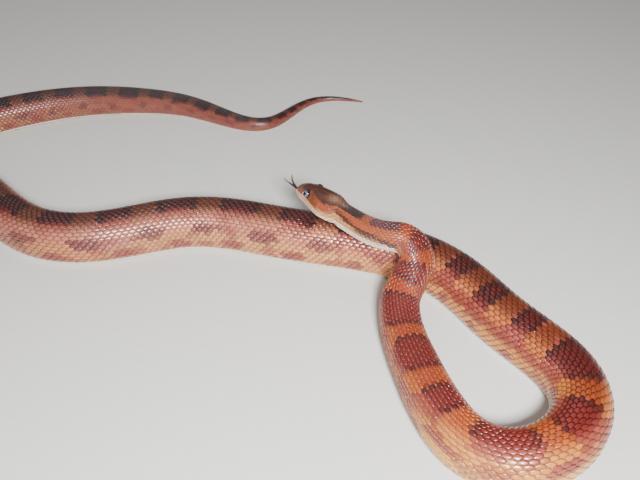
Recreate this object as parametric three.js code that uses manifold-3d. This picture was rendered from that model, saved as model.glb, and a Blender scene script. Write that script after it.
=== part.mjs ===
// A corn snake, life size, lying in a loop with its neck laid across its own body and its tongue out.
// Millimetres, +Z up. The origin is on the floor, in the middle of the box round the snake.
import * as THREE from "three";
import { mergeVertices } from "three/addons/utils/BufferGeometryUtils.js";
import Module from "manifold-3d";

const wasm = await Module();
wasm.setup();

// Driving dimensions
const GAP = 0.3; // left between touching pieces
const HEIGHT_SHARE = 0.94; // height of the body over its width
const BELLY_SHARE = 0.25; // half of the flat belly over the width of the body
const BELLY_EDGE = -56; // degrees below the level of the middle where the flank begins
const FLANK_POWER = 3; // squareness of the section below its middle
const BACK_POWER = 2.15; // squareness of the section above its middle
const SIDES = 18; // facets round the body
const HEAD_LENGTH = 34; // back of the head to the tip of the snout, before HEAD_SCALE
const HEAD_SCALE = 1.08; // size of the head over the tables of the head below
const HEAD_ROLL = 8; // degrees that the head is turned about its length, its left eye up
const HEAD_SIDES = 26;
const HEAD_STATIONS = 20;

// Middle of the neck where it is raised, from the head over the body to the floor: x, y, rise of the belly
const RAISED_COURSE = [
  [97.4, -35, 40.4], [102.9, -40.2, 40], [109.4, -45.8, 39], [117.3, -50.6, 37.8], [126, -53, 37],
  [133, -53.2, 36.2], [138.5, -56.3, 33.4], [141, -60.7, 28.5], [140.5, -65.2, 23.2], [137, -69.8, 17.2],
  [132.8, -74.8, 11.5], [130.3, -81.5, 6.9], [130, -90, 3.2],
];
// Middle of the body where it lies on the floor, from the neck to the tip of the tail: x, y
const FLOOR_COURSE = [
  [131, -102], [135, -121], [140, -141], [146.5, -160], [156, -175], [171, -182.5], [189, -181],
  [208, -170], [220, -150], [217, -127], [202, -108], [186, -88], [174, -65], [156, -44], [130, -30],
  [97, -22], [59, -14], [22, -2], [-11, -1], [-41, -12], [-73, -20], [-106, -14], [-135, 9], [-162, 38],
  [-193, 63], [-221, 90], [-219, 122], [-190, 144], [-154, 163], [-113, 175], [-71, 176], [-37, 173],
  [-6, 157], [22, 141], [44, 144], [59, 168], [76, 191], [99, 196], [123, 191],
];
// Width of the body by distance from the back of the head
const GIRTH = [
  [0, 14.9], [15, 15.5], [35, 17.4], [55, 19.8], [80, 22.8], [110, 25.6], [160, 28], [220, 30], [300, 31.5],
  [400, 33], [520, 34], [640, 32.5], [760, 31], [880, 28.5], [935, 26.5], [985, 23.5], [1025, 20],
  [1055, 17.3], [1080, 14.5], [1110, 11.5], [1150, 8.2], [1190, 4.8], [1212, 2.6], [1223, 1],
];
// Lengths that the body is divided into: name, where each ends, and the step between its sections
const LENGTHS = [
  ["neck_1", 40, 8], ["neck_2", 74, 4.5], ["neck_3", 115, 7],
  ["body_01", 165, 12], ["body_02", 207, 9], ["body_03", 250, 9], ["body_04", 294, 9], ["body_05", 370, 13],
  ["body_06", 452, 13], ["body_07", 542, 13], ["body_08", 632, 13], ["body_09", 722, 13],
  ["body_10", 782, 10], ["body_11", 840, 10], ["body_12", 945, 13], ["body_13", 1056, 13],
  ["tail_1", 1110, 11], ["tail_2", 1165, 9], ["tail_3", Infinity, 8],
];

// Head, in its own frame: x forward from the back of the head, y to its left, z up from its middle
const HEAD_HALF_WIDTH = [[0, 6.9], [4, 8.5], [8.5, 9.8], [13, 9.8], [18, 8.8], [22, 7.7], [26, 6.7], [30, 5.9], [34, 5.3]];
const HEAD_TOP = [[0, 6.5], [5, 6.9], [12, 7], [18, 6.8], [22, 6.4], [27, 5.4], [31, 4.3], [34, 3.4]];
const HEAD_BOTTOM = [[0, -6.5], [5, -6.6], [12, -6.2], [18, -5.6], [24, -5], [30, -4.5], [34, -4.1]];
const MOUTH_LINE = [[6, -1.5], [10, -2.5], [15, -2.9], [20, -2.8], [26, -2.3], [31, -1.9], [36, -1.8]];
const SNOUT_START = 26; // from here the outlines close towards the tip
const SNOUT_TIP_Z = 0.1;
const CROWN_POWER = 2.35; // squareness of the head's section above its middle
const THROAT_POWER = 2.5; // squareness of the head's section below its middle
const PLATE_RAISE = 0.28;
const FINEST = 0.02; // detail of a cut solid finer than this is merged away
const PLATE_ROOT = 0.9;
const PLATE_SEAM = 0.22; // half of the groove between two plates, in mm along the head
const EYE = { x: 22.7, y: 4.95, z: 3.2, radius: 2.65 };
const NOSTRIL = { x: 31.1, y: 5.1, z: 1.4, radius: 0.6 };

const degrees = THREE.MathUtils.degToRad;

// Smooth value at a place from [place, value] stations.
function smooth(stations, place) {
  const last = stations.length - 1;
  let i = 1;
  while (i < last && place > stations[i][0]) i++;
  const slope = (j) => {
    const [a, b] = [stations[Math.max(j - 1, 0)], stations[Math.min(j + 1, last)]];
    return (b[1] - a[1]) / (b[0] - a[0]);
  };
  const [[p0, v0], [p1, v1]] = [stations[i - 1], stations[i]];
  const span = p1 - p0;
  const t = THREE.MathUtils.clamp((place - p0) / span, 0, 1);
  const [m0, m1] = [slope(i - 1) * span, slope(i) * span];
  return (2 * t ** 3 - 3 * t ** 2 + 1) * v0 + (t ** 3 - 2 * t ** 2 + t) * m0
    + (3 * t ** 2 - 2 * t ** 3) * v1 + (t ** 3 - t ** 2) * m1;
}

// Course of the body: a uniform cubic B-spline that starts and ends on its outer points.
class Course extends THREE.Curve {
  constructor(points) {
    super();
    const first = points[0].clone().multiplyScalar(2).sub(points[1]);
    const last = points.at(-1).clone().multiplyScalar(2).sub(points.at(-2));
    this.points = [first, ...points, last];
    this.arcLengthDivisions = 3000;
  }

  getPoint(t, target = new THREE.Vector3()) {
    const spans = this.points.length - 3;
    const span = Math.min(Math.floor(t * spans), spans - 1);
    const f = t * spans - span;
    const weights = [(1 - f) ** 3, 3 * f ** 3 - 6 * f ** 2 + 4, -3 * f ** 3 + 3 * f ** 2 + 3 * f + 1, f ** 3];
    target.set(0, 0, 0);
    weights.forEach((w, i) => target.addScaledVector(this.points[span + i], w / 6));
    return target;
  }
}

const course = new Course([
  ...RAISED_COURSE.map(([x, y, rise]) => new THREE.Vector3(x, y, rise)),
  ...FLOOR_COURSE.map(([x, y]) => new THREE.Vector3(x, y, 0)),
]);
const BODY_LENGTH = course.getLength();

// Middle of the body at a distance from the head, with its directions to the tail, to its left and up.
function frameAt(distance) {
  const u = THREE.MathUtils.clamp(distance / BODY_LENGTH, 0, 1);
  const back = course.getTangentAt(u);
  const left = new THREE.Vector3().crossVectors(back, new THREE.Vector3(0, 0, 1)).normalize();
  const up = new THREE.Vector3().crossVectors(left, back);
  const width = smooth(GIRTH, distance);
  const middle = course.getPointAt(u);
  middle.z += (width * HEIGHT_SHARE) / 2;
  return { middle, back, left, up, width };
}

const signedPower = (value, power) => Math.sign(value) * Math.abs(value) ** power;

// Loaf-shaped section: a flat belly, steep flanks and an arched back, as [across, up] pairs.
function loaf(width) {
  const height = width * HEIGHT_SHARE;
  const points = [[-BELLY_SHARE * width, -height / 2], [BELLY_SHARE * width, -height / 2]];
  const round = SIDES - 2;
  for (let i = 0; i < round; i++) {
    const a = degrees(BELLY_EDGE + (i * (180 - 2 * BELLY_EDGE)) / (round - 1));
    const power = 2 / (Math.sin(a) < 0 ? FLANK_POWER : BACK_POWER);
    points.push([
      (width / 2) * signedPower(Math.cos(a), power),
      (height / 2) * signedPower(Math.sin(a), power),
    ]);
  }
  return points;
}

// Closed geometry through rings of points, each ring with the same count, with a fan over either end.
function loft(rings, tip = centre(rings.at(-1)), root = centre(rings[0])) {
  const n = rings[0].length;
  const positions = [...rings.flat(), root, tip].flatMap((p) => p.toArray());
  const [rootIndex, tipIndex] = [rings.length * n, rings.length * n + 1];
  const index = [];
  for (let i = 0; i < n; i++) {
    const j = (i + 1) % n;
    for (let r = 0; r < rings.length - 1; r++) {
      const [a, b, c, d] = [r * n + i, r * n + j, (r + 1) * n + j, (r + 1) * n + i];
      index.push(a, b, c, a, c, d);
    }
    const end = (rings.length - 1) * n;
    index.push(rootIndex, j, i, tipIndex, end + i, end + j);
  }
  const geometry = new THREE.BufferGeometry();
  geometry.setAttribute("position", new THREE.Float32BufferAttribute(positions, 3));
  geometry.setIndex(index);
  return facingOut(geometry);
}

function centre(points) {
  const sum = points.reduce((total, p) => total.add(p), new THREE.Vector3());
  return sum.divideScalar(points.length);
}

// Turns a closed geometry's faces round where they point inwards.
function facingOut(geometry) {
  const p = geometry.attributes.position;
  const index = geometry.index.array;
  const corner = (i) => new THREE.Vector3().fromBufferAttribute(p, index[i]);
  let volume = 0;
  for (let i = 0; i < index.length; i += 3) volume += corner(i).dot(corner(i + 1).cross(corner(i + 2)));
  if (volume < 0) {
    for (let i = 0; i < index.length; i += 3) [index[i], index[i + 1]] = [index[i + 1], index[i]];
  }
  return geometry;
}

function solid(geometry) {
  const bare = new THREE.BufferGeometry();
  bare.setAttribute("position", geometry.attributes.position);
  bare.setIndex(geometry.index);
  const merged = mergeVertices(bare, 1e-4);
  return new wasm.Manifold(new wasm.Mesh({
    numProp: 3,
    vertProperties: merged.attributes.position.array,
    triVerts: new Uint32Array(merged.index.array),
  }));
}

// Geometry of a solid's largest closed surface.
function geometryOf(made) {
  const largest = made.simplify(FINEST).decompose().reduce((a, b) => (a.volume() > b.volume() ? a : b));
  const mesh = largest.getMesh();
  const geometry = new THREE.BufferGeometry();
  geometry.setAttribute("position", new THREE.BufferAttribute(mesh.vertProperties, 3));
  geometry.setIndex(new THREE.BufferAttribute(mesh.triVerts, 1));
  return geometry;
}

const joined = (solids) => solids.reduce((a, b) => a.add(b));

// One length of the body between two distances from the head.
function bodyLength(from, to, step) {
  const steps = Math.ceil((to - from) / step);
  const rings = [];
  for (let i = 0; i <= steps; i++) {
    const { middle, left, up, width } = frameAt(from + ((to - from) * i) / steps);
    rings.push(loaf(width).map(([across, above]) =>
      middle.clone().addScaledVector(left, across).addScaledVector(up, above)));
  }
  return loft(rings);
}

// Share of the full section that is left at a place on the snout, rounding off to nothing at the tip.
function snoutShare(x, power) {
  const t = THREE.MathUtils.clamp((x - SNOUT_START) / (HEAD_LENGTH - SNOUT_START), 0, 1);
  return Math.max(1 - t ** power, 0) ** (1 / power);
}

// Point of the head's surface at x, at an angle from the top towards its left, raised by a height.
function headPoint(x, angle, raise = 0) {
  const a = degrees(angle);
  const width = smooth(HEAD_HALF_WIDTH, x) * snoutShare(x, 3);
  const top = SNOUT_TIP_Z + (smooth(HEAD_TOP, x) - SNOUT_TIP_Z) * snoutShare(x, 2.6);
  const bottom = SNOUT_TIP_Z + (smooth(HEAD_BOTTOM, x) - SNOUT_TIP_Z) * snoutShare(x, 2);
  const level = THREE.MathUtils.lerp(0, SNOUT_TIP_Z, x / HEAD_LENGTH);
  const above = Math.cos(a) > 0;
  const power = 2 / (above ? CROWN_POWER : THROAT_POWER);
  const reach = above ? top - level : level - bottom;
  const point = new THREE.Vector3(
    x,
    width * signedPower(Math.sin(a), power),
    level + reach * signedPower(Math.cos(a), power),
  );
  const outward = new THREE.Vector3(x > SNOUT_START ? (1 - snoutShare(x, 2.6)) * 6 : 0, point.y, point.z - level);
  return point.addScaledVector(outward.normalize(), raise);
}

function headBlank() {
  const rings = [];
  for (let i = 0; i <= HEAD_STATIONS; i++) {
    const x = GAP / 2 + (HEAD_LENGTH - GAP / 2) * Math.sin((i / (HEAD_STATIONS + 0.6)) * (Math.PI / 2)) ** 0.93;
    const ring = [];
    for (let k = 0; k < HEAD_SIDES; k++) ring.push(headPoint(x, (k * 360) / HEAD_SIDES));
    rings.push(ring);
  }
  return solid(loft(rings, headPoint(HEAD_LENGTH, 0)));
}

// Plate with four corners, each an [x, angle] of the head's surface, sunk in it by its root.
function plate(corners, along = 2, across = 2) {
  const [a, b, c, d] = corners;
  const at = (s, t, raise) => {
    const mix = (k) => (1 - t) * ((1 - s) * a[k] + s * b[k]) + t * ((1 - s) * d[k] + s * c[k]);
    return headPoint(mix(0), mix(1), raise);
  };
  const outline = [];
  for (let i = 0; i < along; i++) outline.push([i / along, 0]);
  for (let i = 0; i < across; i++) outline.push([1, i / across]);
  for (let i = along; i > 0; i--) outline.push([i / along, 1]);
  for (let i = across; i > 0; i--) outline.push([0, i / across]);
  const ring = (raise) => outline.map(([s, t]) => at(s, t, raise));
  return solid(loft([ring(-PLATE_ROOT), ring(PLATE_RAISE)], at(0.5, 0.5, PLATE_RAISE), at(0.5, 0.5, -PLATE_ROOT)));
}

// Angle on the head's left side at x where its surface is at a height.
function angleAtHeight(x, z) {
  let [low, high] = [1, 179];
  for (let i = 0; i < 24; i++) {
    const middle = (low + high) / 2;
    if (headPoint(x, middle).z > z) low = middle;
    else high = middle;
  }
  return low;
}

// Row of lip plates along the mouth, between two heights from its line, from the snout to the corner.
function lipPlates(count, front, back, near, far, side) {
  const plates = [];
  const length = (front - back) / count;
  for (let i = 0; i < count; i++) {
    const [x0, x1] = [front - i * length - PLATE_SEAM, front - (i + 1) * length + PLATE_SEAM];
    const corner = (x, off) => [x, side * angleAtHeight(x, smooth(MOUTH_LINE, x) + off)];
    plates.push(plate([corner(x0, near), corner(x1, near), corner(x1, far), corner(x0, far)], 2, 1));
  }
  return plates;
}

// Large shields on top of the head, on one side: corners as [x, angle].
const PAIRED_SHIELDS = {
  internasal: [[32.6, 2], [30.3, 2], [30.1, 50], [32.3, 56]],
  prefrontal: [[29.9, 2], [26.4, 2], [26.2, 43], [29.6, 50]],
  supraocular: [[25.9, 22], [19.4, 14], [19.6, 38], [25.5, 42]],
  parietal: [[18.6, 2], [9.4, 2], [11.4, 34], [18.9, 41]],
};
// Shields on one side of the face: corners as [x, height].
const FACE_SHIELDS = {
  nasal: [[32.5, 0.2], [30.2, 0.1], [30, 2.6], [32.1, 2.4]],
  loreal: [[29.8, 0.1], [27.6, 0.1], [27.4, 2.9], [29.6, 2.8]],
  preocular: [[27.2, 0.1], [25.8, 0.1], [25.6, 4.3], [26.9, 3.9]],
  postocular_upper: [[19.6, 2.8], [17.9, 2.9], [17.9, 4.8], [19.3, 5]],
  postocular_lower: [[19.6, 0.3], [17.9, 0.2], [17.9, 2.5], [19.6, 2.4]],
  temporal_upper: [[17.5, 2.5], [13, 2.6], [13.2, 4.9], [17.5, 4.7]],
  temporal_lower: [[17.5, 0.1], [13, 0], [13, 2.2], [17.5, 2.1]],
};
const FRONTAL = [[25.9, -20], [19, -11.5], [19, 11.5], [25.9, 20]];
const ROSTRAL = [[33.75, -95], [33, -62], [33, 62], [33.75, 95]];
const MENTAL = [[33.3, 140], [32.2, 150], [32.2, 210], [33.3, 220]];
const CHIN_SHIELDS = [[[31.4, 183], [27.4, 183], [27.4, 212], [31.4, 212]], [[27, 183], [22.6, 183], [23.4, 208], [27, 210]]];

function mirrored(corners) {
  return corners.map(([x, angle]) => [x, -angle]);
}

// Block below the mouth's line and in front of the jaw's joint, with the line moved by an offset.
function jawBlock(offset) {
  const outline = new THREE.Shape();
  const depth = -12;
  outline.moveTo(40, depth);
  outline.lineTo(40, smooth(MOUTH_LINE, 36) + offset);
  for (let x = 36; x >= 6; x -= 2) outline.lineTo(x - (x === 6 ? offset : 0), smooth(MOUTH_LINE, x) + offset);
  outline.lineTo(3.5 - offset, depth);
  const reach = 24;
  const geometry = new THREE.ExtrudeGeometry(outline, { depth: reach, bevelEnabled: false, steps: 1 });
  geometry.rotateX(Math.PI / 2).translate(0, reach / 2, 0);
  geometry.deleteAttribute("normal");
  geometry.deleteAttribute("uv");
  return solid(mergeVertices(geometry));
}

function ball({ x, y, z, radius }, side, grow = 0) {
  const geometry = new THREE.IcosahedronGeometry(radius + grow, 3);
  geometry.translate(x, y * side, z);
  geometry.deleteAttribute("normal");
  geometry.deleteAttribute("uv");
  return mergeVertices(geometry);
}

// Round bar of changing size along a curve, flattened by a share.
function taperedBar(curve, radii, flat, sides = 8, steps = 6) {
  const rings = [];
  for (let i = 0; i <= steps; i++) {
    const u = i / steps;
    const middle = curve.getPointAt(u);
    const tangent = curve.getTangentAt(u);
    const across = new THREE.Vector3().crossVectors(new THREE.Vector3(0, 0, 1), tangent).normalize();
    const above = new THREE.Vector3().crossVectors(tangent, across);
    const radius = smooth(radii, u);
    const ring = [];
    for (let k = 0; k < sides; k++) {
      const a = (k * 2 * Math.PI) / sides;
      ring.push(middle.clone().addScaledVector(across, Math.cos(a) * radius)
        .addScaledVector(above, Math.sin(a) * radius * flat));
    }
    rings.push(ring);
  }
  return solid(loft(rings));
}

// Tongue: a flat stem that forks into two tips.
const TONGUE_ROOT = [28.9, 0, -1.85];
const TONGUE_FORK = [38.5, 0, -0.9];
function tongueStem(radii, flat) {
  const [root, fork] = [new THREE.Vector3(...TONGUE_ROOT), new THREE.Vector3(...TONGUE_FORK)];
  const middle = new THREE.Vector3(35, 0, -1.7);
  return taperedBar(new THREE.CatmullRomCurve3([root, middle, fork]), radii, flat);
}

function tongue() {
  const tine = (side) => taperedBar(new THREE.CatmullRomCurve3([
    new THREE.Vector3(37.4, 0.45 * side, -1.1),
    new THREE.Vector3(40.2, 1.2 * side, -0.2),
    new THREE.Vector3(42.6, 2.5 * side, 1),
    new THREE.Vector3(43.6, 3.7 * side, 2.8),
  ]), [[0, 0.62], [0.5, 0.5], [1, 0.26]], 0.9);
  return geometryOf(joined([tongueStem([[0, 1.05], [1, 0.95]], 0.5), tine(1), tine(-1)]));
}

// Channel that the tongue leaves the mouth by.
function tongueChannel() {
  const [root, out] = [new THREE.Vector3(28.6, 0, -1.85), new THREE.Vector3(38, 0, -1.5)];
  return taperedBar(new THREE.LineCurve3(root, out), [[0, 1.45], [1, 1.6]], 0.62, 10, 2);
}

function headPieces() {
  const faceShields = Object.values(FACE_SHIELDS).map((c) => c.map(([x, z]) => [x, angleAtHeight(x, z)]));
  const pairedShields = [...Object.values(PAIRED_SHIELDS), ...faceShields];
  const upper = [
    ...pairedShields.map((c) => plate(c)), ...pairedShields.map((c) => plate(mirrored(c))),
    plate(FRONTAL), plate(ROSTRAL, 1, 6),
    ...[1, -1].flatMap((side) => lipPlates(8, 32.6, 6.6, 0.45, 2.2, side)),
  ];
  const lower = [
    plate(MENTAL, 1, 3),
    ...CHIN_SHIELDS.flatMap((c) => [plate(c), plate(mirrored(c))]),
    ...[1, -1].flatMap((side) => lipPlates(8, 32, 7.4, -0.45, -1.9, side)),
  ];
  const blank = headBlank();
  const channel = tongueChannel();
  const sockets = [1, -1].map((side) => solid(ball(EYE, side, GAP)));
  const nostrils = [1, -1].map((side) => solid(ball(NOSTRIL, side)));
  return {
    head: geometryOf(joined([blank, ...upper]).subtract(jawBlock(GAP / 2)).subtract(channel)
      .subtract(joined([...sockets, ...nostrils]))),
    lower_jaw: geometryOf(joined([blank, ...lower]).intersect(jawBlock(-GAP / 2)).subtract(channel)),
  };
}

const skin = new THREE.MeshStandardMaterial({ color: "#c67a4c", roughness: 0.45 });
const crown = new THREE.MeshStandardMaterial({ color: "#7a5238", roughness: 0.45 });
const lip = new THREE.MeshStandardMaterial({ color: "#dcb79a", roughness: 0.5 });
const eyeFinish = new THREE.MeshStandardMaterial({ color: "#3a3f48", roughness: 0.08 });
const tongueFinish = new THREE.MeshStandardMaterial({ color: "#2a1013", roughness: 0.4 });

const snake = new THREE.Group();

function addMesh(name, geometry, material, parent = snake) {
  const mesh = new THREE.Mesh(geometry, material);
  mesh.name = name;
  parent.add(mesh);
}

// Head group, whose x runs forward from where the neck begins.
const neckStart = frameAt(0);
const headGroup = new THREE.Group();
headGroup.quaternion.setFromRotationMatrix(
  new THREE.Matrix4().makeBasis(neckStart.back.clone().negate(), neckStart.left, neckStart.up));
headGroup.rotateX(degrees(HEAD_ROLL));
headGroup.position.copy(neckStart.middle);
headGroup.scale.setScalar(HEAD_SCALE);
snake.add(headGroup);

const { head, lower_jaw: lowerJaw } = headPieces();
addMesh("head", head, crown, headGroup);
addMesh("lower_jaw", lowerJaw, lip, headGroup);
addMesh("eye_left", ball(EYE, 1), eyeFinish, headGroup);
addMesh("eye_right", ball(EYE, -1), eyeFinish, headGroup);
addMesh("tongue", tongue(), tongueFinish, headGroup);

let start = 0;
for (const [name, end, step] of LENGTHS) {
  const stop = Math.min(end, BODY_LENGTH);
  addMesh(name, bodyLength(start + GAP / 2, stop - GAP / 2, step), skin);
  start = stop;
}

export default snake;
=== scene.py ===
"""A corn snake, life size, lying in a loop with its neck laid across its own body and its tongue out.

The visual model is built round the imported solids. Lengths are in millimetres until a mesh is made, and
a place on the snake is a distance behind the head (less than zero on the head) and a share of the way
round from the middle of the back (0) over the left side (+) or the right side (-) to the belly (1 or -1).
"""

import logging
import math
from collections.abc import Callable
from dataclasses import dataclass, field
from enum import Enum
from functools import partial
from typing import ClassVar

import bpy
import numpy as np
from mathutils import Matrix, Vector
from numpy.typing import NDArray


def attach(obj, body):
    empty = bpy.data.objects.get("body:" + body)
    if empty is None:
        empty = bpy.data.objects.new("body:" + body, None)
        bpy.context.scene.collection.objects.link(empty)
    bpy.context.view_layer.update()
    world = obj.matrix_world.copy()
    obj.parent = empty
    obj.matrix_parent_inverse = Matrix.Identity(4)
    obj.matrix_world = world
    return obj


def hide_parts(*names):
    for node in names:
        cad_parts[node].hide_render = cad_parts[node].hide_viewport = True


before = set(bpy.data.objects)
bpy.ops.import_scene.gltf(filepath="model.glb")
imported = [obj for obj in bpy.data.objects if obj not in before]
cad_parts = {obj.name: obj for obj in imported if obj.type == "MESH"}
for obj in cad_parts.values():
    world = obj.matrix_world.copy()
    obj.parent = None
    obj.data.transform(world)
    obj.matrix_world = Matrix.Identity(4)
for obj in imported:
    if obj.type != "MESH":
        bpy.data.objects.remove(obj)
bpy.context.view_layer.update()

LOG = logging.getLogger("corn_snake")
MM = 0.001
BAKE_MAP = "OFBake"
Array = NDArray[np.float64]
Triple = tuple[float, float, float]
Stations = tuple[tuple[float, float], ...]
Faces = list[list[int]]
Piece = bpy.types.Object
Material = bpy.types.Material
Node = bpy.types.Node
Socket = bpy.types.NodeSocket
Adder = Callable[..., Node]

# Course of the belly as the solids follow it: x, y, rise, from the head over the body to the floor
RAISED_COURSE = (
    (97.4, -35, 40.4), (102.9, -40.2, 40), (109.4, -45.8, 39), (117.3, -50.6, 37.8), (126, -53, 37),
    (133, -53.2, 36.2), (138.5, -56.3, 33.4), (141, -60.7, 28.5), (140.5, -65.2, 23.2),
    (137, -69.8, 17.2), (132.8, -74.8, 11.5), (130.3, -81.5, 6.9), (130, -90, 3.2),
)
# The rest of the course, on the floor: x, y
FLOOR_COURSE = (
    (131, -102), (135, -121), (140, -141), (146.5, -160), (156, -175), (171, -182.5), (189, -181),
    (208, -170), (220, -150), (217, -127), (202, -108), (186, -88), (174, -65), (156, -44), (130, -30),
    (97, -22), (59, -14), (22, -2), (-11, -1), (-41, -12), (-73, -20), (-106, -14), (-135, 9), (-162, 38),
    (-193, 63), (-221, 90), (-219, 122), (-190, 144), (-154, 163), (-113, 175), (-71, 176), (-37, 173),
    (-6, 157), (22, 141), (44, 144), (59, 168), (76, 191), (99, 196), (123, 191),
)
# Width of the body by distance behind the head
GIRTH = (
    (0, 14.9), (15, 15.5), (35, 17.4), (55, 19.8), (80, 22.8), (110, 25.6), (160, 28), (220, 30),
    (300, 31.5), (400, 33), (520, 34), (640, 32.5), (760, 31), (880, 28.5), (935, 26.5), (985, 23.5),
    (1025, 20), (1055, 17.3), (1080, 14.5), (1110, 11.5), (1150, 8.2), (1190, 4.8), (1212, 2.6), (1223, 1),
)
THICKEST = 34.0
VENT = 1056.0
SCALE_PITCH = 4.3  # spacing of the scales along the thickest body
PITCH_POWER = 0.65  # how fast the spacing shrinks with the girth
ROW_SHARE = 0.62  # spacing of the rows across the body over the spacing along it
VENTRAL_EDGE = 0.742  # share of the way round where the belly's wide scales begin
COAT_DEPTH = 0.156  # how far the skin lies inside the solids' surface, over the spacing of the scales


def linear(colour: str) -> Triple:
    """Turns an sRGB hex colour to linear light.

    Args:
        colour: the colour as "#rrggbb".

    Returns:
        Linear red, green and blue.
    """
    parts = [int(colour[i : i + 2], 16) / 255 for i in (1, 3, 5)]
    return tuple(v / 12.92 if v <= 0.04045 else ((v + 0.055) / 1.055) ** 2.4 for v in parts)


def smooth(stations: Stations, place: Array) -> Array:
    """Smooth value at each place from stations, by the same cubic as the solids.

    Args:
        stations: (place, value) pairs in rising order.
        place: places to read.

    Returns:
        The values, held at the ends.
    """
    at, value = np.array(stations, float).T
    last = len(at) - 1
    before, after = np.maximum(np.arange(last + 1) - 1, 0), np.minimum(np.arange(last + 1) + 1, last)
    slope = (value[after] - value[before]) / (at[after] - at[before])
    i = np.clip(np.searchsorted(at, place), 1, last)
    span = at[i] - at[i - 1]
    t = np.clip((place - at[i - 1]) / span, 0, 1)
    start = (2 * t**3 - 3 * t**2 + 1) * value[i - 1] + (t**3 - 2 * t**2 + t) * slope[i - 1] * span
    return start + (3 * t**2 - 2 * t**3) * value[i] + (t**3 - t**2) * slope[i] * span


def ease(value: Array, low: float, high: float) -> Array:
    """Rises smoothly from 0 at low to 1 at high."""
    t = np.clip((value - low) / (high - low), 0, 1)
    return t * t * (3 - 2 * t)


def bump(value: Array, centre: float, reach: float) -> Array:
    """A bell of height 1 round a centre."""
    return np.exp(-(((value - centre) / reach) ** 2))


def signed_power(value: Array, power: float) -> Array:
    """Raises the size of a value to a power and keeps its sign."""
    return np.sign(value) * np.abs(value) ** power


def unit(vectors: Array) -> Array:
    """Scales vectors in the last axis to length 1."""
    return vectors / np.maximum(np.linalg.norm(vectors, axis=-1, keepdims=True), 1e-9)


def pitch(distance: Array) -> Array:
    """Spacing of the scales along the body."""
    return SCALE_PITCH * (smooth(GIRTH, np.maximum(distance, 0)) / THICKEST) ** PITCH_POWER


def stepped(low: float, high: float) -> Array:
    """Distances along the body, one spacing of the scales apart.

    Args:
        low: the first.
        high: the last is the first one past it.

    Returns:
        The distances.
    """
    stations = [low]
    while stations[-1] < high:
        stations.append(stations[-1] + float(pitch(np.array([stations[-1]]))[0]))
    return np.array(stations)


def evenly(curve: Array, count: int) -> Array:
    """Points evenly spaced along a polyline.

    Args:
        curve: the polyline's points.
        count: how many points to give.

    Returns:
        The points, with both ends.
    """
    run = np.concatenate([[0], np.cumsum(np.linalg.norm(np.diff(curve, axis=0), axis=1))])
    at = np.linspace(0, run[-1], count)
    return np.stack([np.interp(at, run, curve[:, k]) for k in range(curve.shape[1])], axis=1)


def patchy(points: Array, cell: float, seed: int) -> Array:
    """Soft value noise.

    Args:
        points: places, one row of 2 or 3 numbers each.
        cell: size of a patch in the unit of the places.
        seed: fixed seed of the draw.

    Returns:
        One number from 0 to 1 for each place.
    """
    scaled = points / cell
    base = np.floor(scaled).astype(np.int64)
    part = scaled - base
    part = part * part * (3 - 2 * part)
    total = np.zeros(len(points))
    axes = points.shape[1]
    primes = np.array([73856093, 19349663, 83492791])[:axes]
    for corner in range(2**axes):
        step = np.array([(corner >> k) & 1 for k in range(axes)])
        weight = np.prod(np.where(step, part, 1 - part), axis=1)
        # A hash of the corner's whole-number place, of which the low 16 bits are the draw
        key = (base + step) @ primes + seed * 40503
        key = (key ^ (key >> 13)) * 1274126177 & 0x7FFFFFFF
        total += weight * ((key ^ (key >> 16)) % 65536) / 65535
    return total


def mix(first: Array | str, second: Array | str, share: Array) -> Array:
    """Blends colours row by row.

    Args:
        first: linear colours, or one hex colour for every row.
        second: the same, for what lies over the first.
        share: how much of the second each row takes, from 0 to 1.

    Returns:
        The linear colours.
    """
    under, over = (np.array(linear(c)) if isinstance(c, str) else c for c in (first, second))
    return under + (over - under) * share[:, None]


def paint(ground: Array | str, *layers: tuple[Array | str, Array]) -> Array:
    """Lays colours over a ground one after another.

    Args:
        ground: linear colours, or one hex colour.
        layers: pairs of a colour and the share of it that each row takes.

    Returns:
        The linear colours.
    """
    for colour, share in layers:
        ground = mix(ground, colour, share)
    return ground


def mesh_object(name: str, points: Array, faces: Faces, values: dict[str, Array]) -> Piece:
    """Makes a smooth mesh object at the origin, in metres.

    Args:
        name: the piece's name.
        points: vertices in millimetres.
        faces: vertex numbers of each face.
        values: attributes by name, one row for each vertex: 1, 3 or 4 numbers wide.

    Returns:
        The linked object.
    """
    mesh = bpy.data.meshes.new(name)
    mesh.from_pydata((points * MM).tolist(), [], faces)
    kinds = {1: ("FLOAT", "value"), 3: ("FLOAT_VECTOR", "vector"), 4: ("QUATERNION", "value")}
    for key, rows in values.items():
        kind, slot = kinds[1 if rows.ndim == 1 else rows.shape[1]]
        if key == "tint":
            kind, slot, rows = "FLOAT_COLOR", "color", np.hstack([rows, np.ones((len(rows), 1))])
        mesh.attributes.new(key, kind, "POINT").data.foreach_set(slot, rows.astype(np.float32).ravel())
    if faces:
        mesh.polygons.foreach_set("use_smooth", np.ones(len(mesh.polygons), bool))
    mesh.update()
    piece = bpy.data.objects.new(name, mesh)
    bpy.context.scene.collection.objects.link(piece)
    return piece


def ring_faces(first: int, rings: int, columns: int) -> Faces:
    """Faces between closed rings of vertices that follow one another.

    Args:
        first: number of the first vertex.
        rings: how many rings there are.
        columns: vertices in each ring.

    Returns:
        Vertex numbers of each face.
    """
    starts = range(first, first + (rings - 1) * columns, columns)
    turns = [(k, (k + 1) % columns) for k in range(columns)]
    return [[a + k, a + m, a + columns + m, a + columns + k] for a in starts for k, m in turns]


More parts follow.
